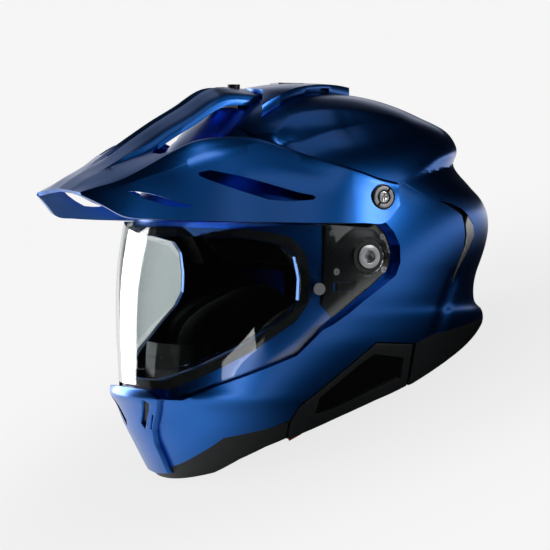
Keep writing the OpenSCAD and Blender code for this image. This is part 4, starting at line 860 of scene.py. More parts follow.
    def flatten(self, obj: bpy.types.Object) -> None:
        """Lay a piece of the rim on the table and cut it flat where it rests."""
        lay(obj)
        floor = prism("below_table", ((-0.3, -0.3), (0.3, -0.3), (0.3, 0.3), (-0.3, 0.3)), -0.1, 0, View.TOP)
        combine(obj, floor, Join.CUT)

    def build(self) -> None:
        """Build the shell and its trims."""
        shell = self.stepped(0, self.columns, self.rings)
        combine(shell, self.stepped(WALL, 160, 110), Join.CUT)
        combine(shell, side_prism("above_belt", self.above_belt()), Join.KEEP_COMMON)
        combine(shell, side_prism("eyeport", side_places(self.eyeport)), Join.CUT)
        self.cut_outlets(shell)
        outward(shell, self.merge)
        drop_specks(shell)
        shell.name = "shell_smooth"
        self.shop.hand_over(shell, "shell_blue", nodes=["outer_shell"], angle=25)
        rim = list(self.rim)
        skin = body("skin_ring", Sections(SKIN), 0, 224, 150)
        combine(skin, body("skin_inside", Sections(INNER), WALL, 160, 100), Join.CUT)
        top = list(self.belt)
        base = self.trim("base_trim_smooth", skin, top[:4] + [(0.26, -0.55)] + rim[4::-1])
        self.flatten(base)
        self.shop.hand_over(base, "black_trim", nodes=["base_trim"], laid=True)
        chin = self.trim("chin_trim_smooth", skin,
                         [(-0.39, -0.69)] + top[8:] + rim[:7:-1] + [(-0.39, -0.765)])
        bpy.data.objects.remove(skin)
        self.flatten(chin)
        self.shop.hand_over(chin, "black_trim", nodes=["chin_trim"], laid=True)


@dataclass
class SidePanels:
    """The comms bays with their covers, and the rear air outlets."""
    shop: Workshop
    bay: Outline = ((0.25, -0.372), (0.15, -0.37), (0.039, -0.364), (-0.05, -0.425), (-0.159, -0.497),
                    (-0.25, -0.56), (-0.345, -0.626), (-0.38, -0.69), (-0.38, -0.765), (-0.32, -0.745),
                    (-0.23, -0.712), (-0.144, -0.68), (-0.03, -0.641), (0.069, -0.607), (0.15, -0.582),
                    (0.238, -0.552))
    cover: Outline = ((0.205, -0.43), (0.12, -0.42), (0.03, -0.41), (-0.05, -0.455), (-0.14, -0.515),
                      (-0.25, -0.59),
                      (-0.262, -0.662), (-0.17, -0.64), (-0.07, -0.605), (0.04, -0.565), (0.12, -0.54),
                      (0.2, -0.515))
    slit_floor: float = 2.6 * MM
    strip: Outline = ((98.3, 31.0), (105.5, 23.3), (107.0, 15), (100.0, 4.7), (85.6, -12.6), (81.4, -20.6),
                      (83.9, -14.2), (88.4, -5.2), (94.9, 7.3), (96.4, 15.4), (95.4, 24))

    def build(self) -> None:
        """Build the panels of both sides."""
        skin = Sections(SKIN)
        bay = panel("comms_bay_smooth_left", skin, side_places(self.bay), 1.5 * MM, WALL)
        combine(bay, panel("bay_hollow", skin, side_places(self.cover), 5 * MM, 2.4 * MM), Join.CUT)
        soften(bay, 0.5 * MM)
        self.shop.hand_over_pair(bay, "black_trim", nodes=["comms_bay"])
        cover = panel("comms_cover_smooth_left", skin, side_places(self.cover), -0.5 * MM, 2.1 * MM)
        soften(cover, 0.4 * MM)
        self.shop.hand_over_pair(cover, "gloss_black", nodes=["comms_cover"])
        places = [(y * MM, z * MM) for y, z in OUTLET]
        duct = panel("rear_vent_smooth_left", skin, places, -self.slit_floor, 3.4 * MM)
        self.shop.hand_over_pair(duct, "black_plastic", nodes=["rear_vent"])
        strip = panel("exhaust_strip_smooth_left", skin, [(y * MM, z * MM) for y, z in self.strip], 0.2 * MM,
                      self.slit_floor)
        soften(strip, 0.3 * MM)
        self.shop.hand_over_pair(strip, "silver_plastic", nodes=["exhaust_strip"])


@dataclass
class Crown:
    """The crown fairing: a raised cap over the top inlets, with a slot on each side."""
    shop: Workshop
    rise: float = 6 * MM
    outline: Outline = ((0, -0.305), (0.25, -0.305), (0.46, -0.4), (0.43, -0.28), (0.31, -0.07), (0.17, 0.14),
                        (0.08, 0.27), (0, 0.3))
    slot: Outline = ((41.5, -12.5), (29, 10.5), (20.5, 22), (17, 20), (25, 8), (36, -14))
    slot_height: float = 3.4 * MM
    pocket_low: tuple[float, float, float] = (-8.3 * MM, -20.1 * MM, 133 * MM)
    pocket_high: tuple[float, float, float] = (8.3 * MM, 10.5 * MM, 150 * MM)

    def build(self) -> None:
        """Build the fairing."""
        skin = Sections(SKIN)
        half = [(SHELL_HALF * x, side_place((y, 0))[0]) for x, y in self.outline]
        outline = half + [(-x, y) for x, y in half[-2:0:-1]]
        obj = body("crown_fairing_smooth", skin, -self.rise, 224, 150)
        combine(obj, prism("fairing_outline", outline, 0, 0.3, View.TOP), Join.KEEP_COMMON)
        combine(obj, body("fairing_inside", skin, -GAP, 192, 120), Join.CUT)
        combine(obj, box("slider_pocket", self.pocket_low, self.pocket_high), Join.CUT)
        for side in (1, -1):
            slot = prism("slot", [(side * x * MM, y * MM) for x, y in self.slot], 0.08, 0.2, View.TOP)
            combine(slot, body("slot_roof", skin, -self.slot_height, 96, 60), Join.KEEP_COMMON)
            combine(obj, slot, Join.CUT)
        soften(obj, 0.8 * MM)
        self.shop.hand_over(obj, "shell_blue", nodes=["crown_fairing"])


@dataclass
class Nose:
    """The raised cover at the middle of the chin bar, with its louvre openings."""
    shop: Workshop
    rise: float = 5 * MM
    outline: Outline = ((0, -0.562), (0.28, -0.567), (0.372, -0.603), (0.21, -0.742), (0.172, -0.8),
                        (0.152, -0.933), (0, -0.942))
    louvre: Outline = ((0.29, -0.622), (0.24, -0.606), (0.112, -0.713), (0.14, -0.742))
    small_slot: Outline = ((0.262, -0.668), (0.272, -0.676), (0.205, -0.742), (0.196, -0.735))

    def build(self) -> None:
        """Build the cover."""
        skin = Sections(SKIN)
        half = [(SHELL_HALF * x, CHIN * z) for x, z in self.outline]
        outline = half + [(-x, z) for x, z in half[-2:0:-1]]
        obj = body("nose_cover_smooth", skin, -self.rise, 256, 170)
        combine(obj, prism("nose_outline", outline, -0.3, -0.05, View.FRONT), Join.KEEP_COMMON)
        combine(obj, body("nose_inside", skin, -GAP, 224, 150), Join.CUT)
        for side in (1, -1):
            for line in (self.louvre, self.small_slot):
                hole = [(side * SHELL_HALF * x, CHIN * z) for x, z in line]
                combine(obj, prism("louvre", hole, -0.3, -0.05, View.FRONT), Join.CUT)
        soften(obj, 1.0 * MM)
        self.shop.hand_over(obj, "shell_blue", nodes=["nose_cover"])


@dataclass
class Mechanism:
    """The base plates and pivot hubs under the ears of the face shield, and the peak's side screws."""
    shop: Workshop
    plate: Outline = ((0.137, 0.08), (0.11, 0.14), (0.07, 0.185), (0.02, 0.21), (-0.07, 0.205), (-0.15, 0.2),
                      (-0.23, 0.195), (-0.249, -0.2), (-0.19, -0.25), (-0.12, -0.213), (-0.05, -0.17),
                      (0.04, -0.115), (0.1, -0.07), (0.135, -0.02))
    screw_places: Outline = ((-0.17, -0.062), (0.09, 0.115), (0.095, -0.055), (-0.19, 0.14))
    lever_place: tuple[float, float] = (-0.12, -0.125)
    flange_radius: float = 9 * MM
    stem_radius: float = 7 * MM
    recess_radius: float = 4.8 * MM
    ear: float = 123.2 * MM
    floor: float = 116.7 * MM
    head_radius: float = 9.5 * MM

    def build_plate(self) -> None:
        """Build the base plates with their ribs."""
        seat = Sections(SHIELD, domed=False)
        plate = panel("base_plate_smooth_left", seat, side_places(self.plate), -4.2 * MM, 6.7 * MM)
        for radius in (19 * MM, 16 * MM):
            profile = ((0.1, radius), (0.13, radius), (0.13, radius - 1 * MM), (0.1, radius - 1 * MM))
            rib = panel("rib_face", seat, side_places(self.plate), -4 * MM, 5 * MM)
            combine(rib, turned("rib", profile, (0, 0)), Join.KEEP_COMMON)
            combine(plate, rib, Join.ADD)
        combine(plate, rod("hub_bore", self.flange_radius + GAP, 0.1, 0.14), Join.CUT)
        for share in self.screw_places:
            combine(plate, rod("screw_bore", 2.8 * MM, 0.1, 0.14, side_place(share), 24), Join.CUT)
        y, z = side_place(self.lever_place)
        slot = box("lever_slot", (0.1, y - 9.8 * MM, z - 3.3 * MM), (0.14, y + 6.8 * MM, z + 3.3 * MM))
        combine(plate, slot, Join.CUT)
        soften(plate, 0.3 * MM)
        self.shop.hand_over_pair(plate, "black_plastic", nodes=["base_plate"])

    def build_hub(self) -> None:
        """Build the hubs that hold the gear rings."""
        flange = self.ear + GAP
        hub = rod("pivot_hub_smooth_left", self.stem_radius, self.floor, flange + 0.5 * MM, sides=64)
        foot = rod("foot", self.flange_radius, self.floor, self.floor + 2 * MM, sides=64)
        rim = rod("flange", self.flange_radius, flange, flange + 1.2 * MM, sides=64)
        well = rod("recess", self.recess_radius, self.floor + 1 * MM, 0.14, sides=64)
        combine(hub, foot, Join.ADD)
        combine(hub, rim, Join.ADD)
        combine(hub, well, Join.CUT)
        soften(hub, 0.4 * MM, segments=3)
        self.shop.hand_over_pair(hub, "silver_plastic", nodes=["pivot_hub"])

    def build_screw(self) -> None:
        """Build the screws of the peak: a dark dish, two bright arcs and a small cross screw."""
        place = side_place((0.069, 0.349))
        seat = Sections(SKIN).half_width(np.array([place[0]]), np.array([place[1]]))[0] + WALL
        dish = rod("peak_screw_smooth_left", self.head_radius, seat - 0.7 * MM, seat + 1.9 * MM, place, 64)
        well = rod("well", self.head_radius - 0.9 * MM, seat + 0.6 * MM, 0.15, place, 64)
        shank = rod("shank", 4.5 * MM, seat - 14 * MM, seat - 0.5 * MM, place, 32)
        combine(dish, well, Join.CUT)
        combine(dish, shank, Join.ADD)
        soften(dish, 0.3 * MM)
        profile = [(seat + x * MM, radius * MM) for x, radius in
                   ((0.7, 8.3), (1.9, 8.3), (2.2, 8.0), (2.2, 5.7), (1.9, 5.4), (0.7, 5.4))]
        arcs = turned("peak_screw_arcs_left", profile, place)
        gap = box("coin_slot", (seat, -0.9 * MM, -12 * MM), (0.15, 0.9 * MM, 12 * MM))
        turn = Matrix.Rotation(math.radians(-38), 4, "X")
        gap.data.transform(Matrix.Translation((0, *place)) @ turn)
        combine(arcs, gap, Join.CUT)
        soften(arcs, 0.25 * MM)
        middle = rod("peak_screw_middle_left", 4.3 * MM, seat + 0.7 * MM, seat + 1.8 * MM, place)
        for size in ((0.7, 2.8), (2.8, 0.7)):
            cross = box("cross", (seat + 1 * MM, place[0] - size[0] * MM, place[1] - size[1] * MM),
                        (0.15, place[0] + size[0] * MM, place[1] + size[1] * MM))
            combine(middle, cross, Join.CUT)
        soften(middle, 0.3 * MM)
        sides = ("peak_screw_left", "peak_screw_right")
        self.shop.hand_over_pair(dish, "black_plastic", nodes=["peak_screw"], rides=sides)
        self.shop.hand_over_pair(arcs, "silver_plastic", rides=sides)
        self.shop.hand_over_pair(middle, "bright_steel", rides=sides)

    def build(self) -> None:
        """Build the pieces of both sides."""
        self.build_plate()
        self.build_hub()
        self.build_screw()


@dataclass
class Lining:
    """The padding and cloth inside: cheek pads, crown pad, neck roll, strap pads and chin curtain."""
    shop: Workshop
    voxel: float = 3.6 * MM
    pressure: float = 4.0
    cavity: tuple = ((0.97, 0.30, 0.28, 0.30), (0.88, 0.56, 0.54, 0.56), (0.72, 0.77, 0.76, 0.77),
                     (0.5, 0.91, 0.90, 0.92), (0.25, 0.98, 0.97, 0.99), (0, 1, 1, 1),
                     (-0.5, 0.97, 1.02, 0.95),
                     (-1, 0.92, 1.04, 0.90), (-1.5, 0.88, 1.06, 0.87), (-2.4, 0.86, 1.06, 0.86))
    crown_edge: Outline = ((-1.2, 0.2), (-0.62, 0.19), (-0.36, 0.1), (-0.2, -0.03), (0.5, -0.1),
                           (0.62, -0.22),
                           (1.2, -0.2), (1.2, 1.2), (-1.2, 1.2))
    cheek_levels: Outline = ((0, 0.9), (0.12, 0.96), (0.5, 0.96), (0.8, 0.88), (0.94, 0.7), (1, 0.4))
    cheek_back: float = 80 * MM
    cheek_deep: float = 24.5 * MM
    cheek_size: tuple[float, float] = (55.4 * MM, 38.4 * MM)
    cheek_square: float = 0.75
    seam_share: float = 0.55

    @staticmethod
    def cheek_frame() -> Matrix:
        """Return the place of the left cheek pad."""
        y, z = side_place((-0.13, -0.385))
        return Matrix.Translation((0, y, z)) @ Matrix.Rotation(REST_TILT, 4, "X")

    def swell(self, obj: bpy.types.Object, cap: float) -> None:
        """Let a pad swell as stuffed cloth does, then smooth it.

        Args:
            obj: The pad, a little smaller than it ends up.
            cap: The furthest that a point may move.
        """
        remesh = obj.modifiers.new("even_mesh", "REMESH")
        remesh.mode = "VOXEL"
        remesh.voxel_size = self.voxel
        apply_modifiers(obj)
        before = read_points(obj)
        make_active(obj)
        cloth = obj.modifiers.new("swell", "CLOTH")
        cloth.settings.use_pressure = True
        cloth.settings.uniform_pressure_force = self.pressure
        cloth.settings.effector_weights.gravity = 0
        for frame_number in range(1, 21):
            bpy.context.scene.frame_set(frame_number)
        apply_modifiers(obj)
        bpy.context.scene.frame_set(1)
        way = read_points(obj) - before
        reach = np.linalg.norm(way, axis=1, keepdims=True)
        write_points(obj, before + way * np.minimum(1, cap / np.maximum(reach, 1e-9)))
        smooth = obj.modifiers.new("smooth", "SUBSURF")
        smooth.levels = smooth.render_levels = 1
        apply_modifiers(obj)

    @staticmethod
    def sew(obj: bpy.types.Object, nearness: Callable[[np.ndarray], np.ndarray], depth: float,
            width: float) -> None:
        """Draw a seam into a pad.

        Args:
            obj: The pad.
            nearness: Tells each point's distance from the seam.
            depth: Depth of the seam.
            width: Width of the seam.
        """
        points = read_points(obj)
        normals = np.empty(len(points) * 3)
        obj.data.vertex_normals.foreach_get("vector", normals)
        sink = depth * np.exp(-(nearness(points) / width) ** 2)
        write_points(obj, points - normals.reshape(-1, 3) * sink[:, None])

    def build_cheeks(self) -> None:
        """Build the cheek pads."""
        turns = np.linspace(0, 2 * math.pi, 72, endpoint=False)
        oval = np.column_stack([
            self.cheek_size[0] * np.sign(np.cos(turns)) * np.abs(np.cos(turns)) ** self.cheek_square,
            self.cheek_size[1] * np.sign(np.sin(turns)) * np.abs(np.sin(turns)) ** self.cheek_square,
        ])
        rings = np.array([
            np.column_stack([np.full(len(oval), self.cheek_back - self.cheek_deep * deep), oval * share])
            for deep, share in self.cheek_levels
        ])
        pad = tube("cheek_pad_soft_left", rings)
        self.swell(pad, 5 * MM)
        points = read_points(pad)
        points[:, 0] = np.minimum(points[:, 0], self.cheek_back + 1 * MM)
        write_points(pad, points)

        def seam(places: np.ndarray) -> np.ndarray:
            """Return the distance from the oval seam on the pad's face."""
            power = 2 / self.cheek_square
            level = (np.abs(places[:, 1] / self.cheek_size[0]) ** power
                     + np.abs(places[:, 2] / self.cheek_size[1]) ** power) ** (1 / power)
            off_face = np.where(places[:, 0] > self.cheek_back - 12 * MM, 1.0, 0.0)
            return np.abs(level - self.seam_share) * 45 * MM + off_face

        self.sew(pad, seam, 1.8 * MM, 1.8 * MM)
        pad.data.transform(self.cheek_frame())
        twin = duplicate(pad, "cheek_pad_soft_right", flip=True)
        for piece, side in ((pad, "left"), (twin, "right")):
            self.shop.hand_over(piece, "fabric_dark", nodes=[f"cheek_pad_{side}"], angle=60)

    def build_crown(self) -> None:
        """Build the crown pad."""
        cavity = Sections(self.cavity, half=90 * MM, front=103 * MM, rear=113 * MM, top=93 * MM, low=93 * MM)
        pad = body("crown_pad_soft", cavity, 1.6 * MM, 120, 80)
        combine(pad, body("pad_inside", cavity, 8.0 * MM, 120, 80), Join.CUT)
        combine(pad, side_prism("pad_outline", side_places(self.crown_edge)), Join.KEEP_COMMON)
        self.swell(pad, 1.5 * MM)
        self.sew(pad, lambda places: np.abs(np.abs(places[:, 0]) - 27 * MM), 1.4 * MM, 2 * MM)
        self.sew(pad, lambda places: np.abs((places[:, 1] + 0.5 * places[:, 2]) % (34 * MM) - 17 * MM),
                 0.8 * MM, 1.8 * MM)
        self.shop.hand_over(pad, "fabric_dark", nodes=["crown_pad"], angle=60)

    def rim_line(self, start: float, stop: float, inset: float, lift: float, count: int) -> np.ndarray:
        """Return places round the inside of the rim, at a height over the table."""
        turn = np.radians(np.linspace(start, stop, count))
        ahead, side = np.cos(turn), np.sin(turn)
        tilt = math.sin(REST_TILT), math.cos(REST_TILT)

        def level(y: np.ndarray) -> np.ndarray:
            """Return the height of places that lie that far over the table."""
            return (lift - REST_HEIGHT + y * tilt[0]) / tilt[1]

        table = Sections(INNER).profile(inset)[::-1]
        guess = level(-ahead * np.where(ahead > 0, 0.75 * SHELL_FRONT, 0.9 * SHELL_REAR))
        half = np.interp(guess, table[:, 0], table[:, 1])
        reach = np.where(ahead > 0, np.interp(guess, table[:, 0], table[:, 2]),
                         np.interp(guess, table[:, 0], table[:, 3]))
        power = np.where(ahead > 0, FRONT_SQUARE, REAR_SQUARE)
        y = -reach * np.sign(ahead) * np.abs(ahead) ** power
        return np.column_stack([half * np.sign(side) * np.abs(side) ** power, y, level(y)])

    def build_roll(self) -> None:
        """Build the neck roll."""
        path = self.rim_line(110, 250, 23.5 * MM, 15 * MM, 56)
        way = np.gradient(path, axis=0)
        way /= np.linalg.norm(way, axis=1, keepdims=True)
        out = np.cross(way, (0, -math.sin(REST_TILT), math.cos(REST_TILT)))
        out /= np.linalg.norm(out, axis=1, keepdims=True)
        rise = np.cross(out, way)
        share = np.linspace(-1, 1, len(path))
        radius = 8.6 * MM * np.maximum(1 - share ** 12, 0.05) ** 0.5
        turn = np.linspace(0, 2 * math.pi, 24, endpoint=False)
        rings = np.array([
            centre + size * (np.outer(np.cos(turn), across) + np.outer(np.sin(turn), up))
            for centre, size, across, up in zip(path, radius, out, rise)
        ])
        roll = tube("neck_roll_soft", rings)
        self.swell(roll, 1.5 * MM)
        self.shop.hand_over(roll, "mesh_fabric", nodes=["neck_roll"], angle=60)

    def build_strap_pads(self) -> None:
        """Build the pads that lie on the chin strap."""
        x = np.linspace(27.9, 66, 24) * MM
        share = np.linspace(-1, 1, len(x))
        fade = np.maximum(1 - share ** 10, 0.06) ** 0.5
        turn = np.linspace(0, 2 * math.pi, 32, endpoint=False)
        y, z = side_place((-0.14, -0.672))
        middle = z + 4.1 * MM
        rings = np.array([
            np.column_stack([
                np.full(len(turn), place),
                y + 13 * MM * size * np.sign(np.cos(turn)) * np.abs(np.cos(turn)) ** 0.5,
                middle + 1.3 * MM * size * np.sign(np.sin(turn)) * np.abs(np.sin(turn)) ** 0.7,
            ])
            for place, size in zip(x, fade)
        ])
        pads = with_twin(tube("strap_pads_left", rings), "strap_pads_soft")
        self.shop.hand_over(pads, "fabric_dark", nodes=["strap_pads"], angle=60)

    def build_curtain(self) -> None:
        """Build the chin curtain: a sheet from the inside of the rim to an arc under the chin."""
        slab = body("curtain_slab", Sections(INNER), WALL + 5 * MM, 160, 100)
        lay(slab)
        combine(slab, box("curtain_level", (-58 * MM, -0.3, 10.2 * MM), (58 * MM, 0, 10.7 * MM)),
                Join.KEEP_COMMON)
        edge = read_points(slab)
        bpy.data.objects.remove(slab)
        edge = edge[edge[:, 1] < -80 * MM]
        edge = edge[np.argsort(edge[:, 0])]
        sheet, column, row = grid("chin_curtain_soft", 72, 20)
        across = (column / 72 * 2 - 1) * 58 * MM
        front = np.interp(across, edge[:, 0], edge[:, 1]) + 0.5 * MM
        back = 48 * MM - np.sqrt((130 * MM) ** 2 - across ** 2) - 0.5 * MM
        share = row / 20
        fold = 0.5 * MM * np.sin(across / (7 * MM)) * np.sin(math.pi * share)
        sag = -1.2 * MM * np.sin(math.pi * share) * (1 - (across / (58 * MM)) ** 2)
        write_points(sheet, np.column_stack([across, front + (back - front) * share, 10.7 * MM + fold + sag]))
        points = read_points(sheet)
        thick = sheet.modifiers.new("thick", "SOLIDIFY")
        thick.thickness = 0.9 * MM
        thick.offset = 0
        apply_modifiers(sheet)
        outward(sheet)
        self.shop.hand_over(sheet, "mesh_fabric", nodes=["chin_curtain"], angle=60, laid=True)

    def build(self) -> None:
        """Build the soft pieces."""
        self.build_cheeks()
        self.build_crown()
        self.build_roll()
        self.build_strap_pads()
        self.build_curtain()


@dataclass
class Straps:
    """The two bands of the chin strap and the red release tabs of the cheek pads."""
    shop: Workshop
    path: Outline = ((82, -72.4), (82, -98), (82, -109.2), (79.2, -117.2), (69.9, -120.9), (45, -121.4),
                     (17.8, -121.6))
    width: float = 24 * MM
    thick: float = 2.2 * MM

    @staticmethod
    def band(name: str, centres: np.ndarray, across: np.ndarray, out: np.ndarray, width: float,
             thick: float) -> bpy.types.Object:
        """Build a flat band with rounded edges along a line.

        Args:
            name: The object's name.
            centres: Places along the middle of the band.
            across: Direction of the width.
            out: Direction square to the band, one per place.
            width: Width of the band.
            thick: Thickness of the band.
        """
        turn = np.linspace(0, 2 * math.pi, 28, endpoint=False)
        wide = width / 2 * np.sign(np.cos(turn)) * np.abs(np.cos(turn)) ** 0.35
        deep = thick / 2 * np.sign(np.sin(turn)) * np.abs(np.sin(turn)) ** 0.6
        rings = np.array([
            centre + np.outer(wide, across) + np.outer(deep, normal) for centre, normal in zip(centres, out)
        ])
        return tube(name, rings)

    def build(self) -> None:
        """Build the bands and the tabs."""
        line = smooth_line(np.array(self.path) * MM, 8)
        y = side_place((-0.14, 0))[0]
        centres = np.column_stack([line[:, 0], np.full(len(line), y), line[:, 1]])
        way = np.gradient(line, axis=0)
        way /= np.linalg.norm(way, axis=1, keepdims=True)
        out = np.column_stack([-way[:, 1], np.zeros(len(way)), way[:, 0]])
        strap = self.band("chin_strap_smooth_left", centres, np.array((0, 1.0, 0)),
                          out, self.width, self.thick)
        self.shop.hand_over_pair(strap, "webbing_black", nodes=["chin_strap"], angle=50)
        length = np.linspace(0, 1, 24)
        centres = np.column_stack([81.1 * MM - 0.35 * MM * np.sin(length * math.pi * 1.5),
                                   np.full(24, -49.7 * MM),
                                   (-25.9 - 27.6 * length) * MM])
        out = np.tile((1.0, 0, 0), (24, 1))
        tab = self.band("release_tab_left", centres, np.array((0, 1.0, 0)), out, 11.8 * MM, 1.3 * MM)
        tab.data.transform(Lining.cheek_frame())
        tabs = with_twin(tab, "release_tabs_soft")
        self.shop.hand_over(tabs, "tab_red", nodes=["release_tabs"], angle=50)


@dataclass
class Visor:
    """The clear face shield and the anti-fog insert behind it."""
    shop: Workshop
    outline: Outline = ((-1.3, 0.2), (-0.45, 0.2), (-0.26, 0.19), (-0.1, 0.178), (0.05, 0.16), (0.105, 0.1),
                        (0.125, 0.02), (0.105, -0.05), (0.04, -0.1), (-0.08, -0.175), (-0.22, -0.262),
                        (-0.262, -0.29), (-0.38, -0.398), (-0.55, -0.46), (-0.73, -0.525), (-0.86, -0.59),
                        (-1.3, -0.592))
    insert: Outline = ((-1.3, 0.1), (-0.62, 0.085), (-0.45, 0.045), (-0.34, -0.05), (-0.25, -0.11),
                       (-0.25, -0.155),
                       (-0.34, -0.19), (-0.43, -0.25), (-0.61, -0.34), (-0.8, -0.44), (-0.9, -0.48),
                       (-1.3, -0.5))
    pin: tuple[float, float] = (-0.275, -0.133)
    gear_radius: float = 12.5 * MM

    def skin(self, name: str, outline: Outline, outer: float, inner: float) -> bpy.types.Object:
        """Build a sheet of the shield's form inside a side-view outline."""
        obj = body(name, Sections(SHIELD, domed=False), outer, 256, 120)
        combine(obj, body("shield_inside", Sections(SHIELD, domed=False), inner, 256, 120), Join.CUT)
        combine(obj, side_prism("shield_outline", side_places(outline)), Join.KEEP_COMMON)
        return obj

    def cut_pins(self, obj: bpy.types.Object) -> None:
        """Cut the holes of the two insert pins."""
        y, z = side_place(self.pin)
        lean = math.radians(11)
        for side in (-1, 1):
            start = (side * 0.09, y + math.sin(lean) * 0.03, z)
            stop = (side * 0.15, y - math.sin(lean) * 0.03, z)
            combine(obj, cylinder("pin_hole", 2.3 * MM, start, stop, 24), Join.CUT)

    def build(self) -> None:
        """Build the two pieces."""
        shield = self.skin("shield_smooth", self.outline, 0, SHIELD_THICKNESS)
        for side in (-1, 1):
            combine(shield, cylinder("ear_bore", self.gear_radius + GAP, (side * 0.05, 0, 0),
                                     (side * 0.15, 0, 0)),
                    Join.CUT)
        self.cut_pins(shield)
        notch = prism("nose_notch", ((-0.0457, -0.3), (0.0457, -0.3), (0.0457, -0.1001), (-0.0457, -0.1001)),
                      -0.3, 0, View.FRONT)
        combine(shield, notch, Join.CUT)
        self.shop.hand_over(shield, "shield_clear", "face_shield", ["face_shield"])
        insert = self.skin("insert_smooth", self.insert, SHIELD_THICKNESS + GAP,
                           SHIELD_THICKNESS + GAP + 1.2 * MM)
        self.cut_pins(insert)
        self.shop.hand_over(insert, "insert_clear", "face_shield", ["anti_fog_insert"])


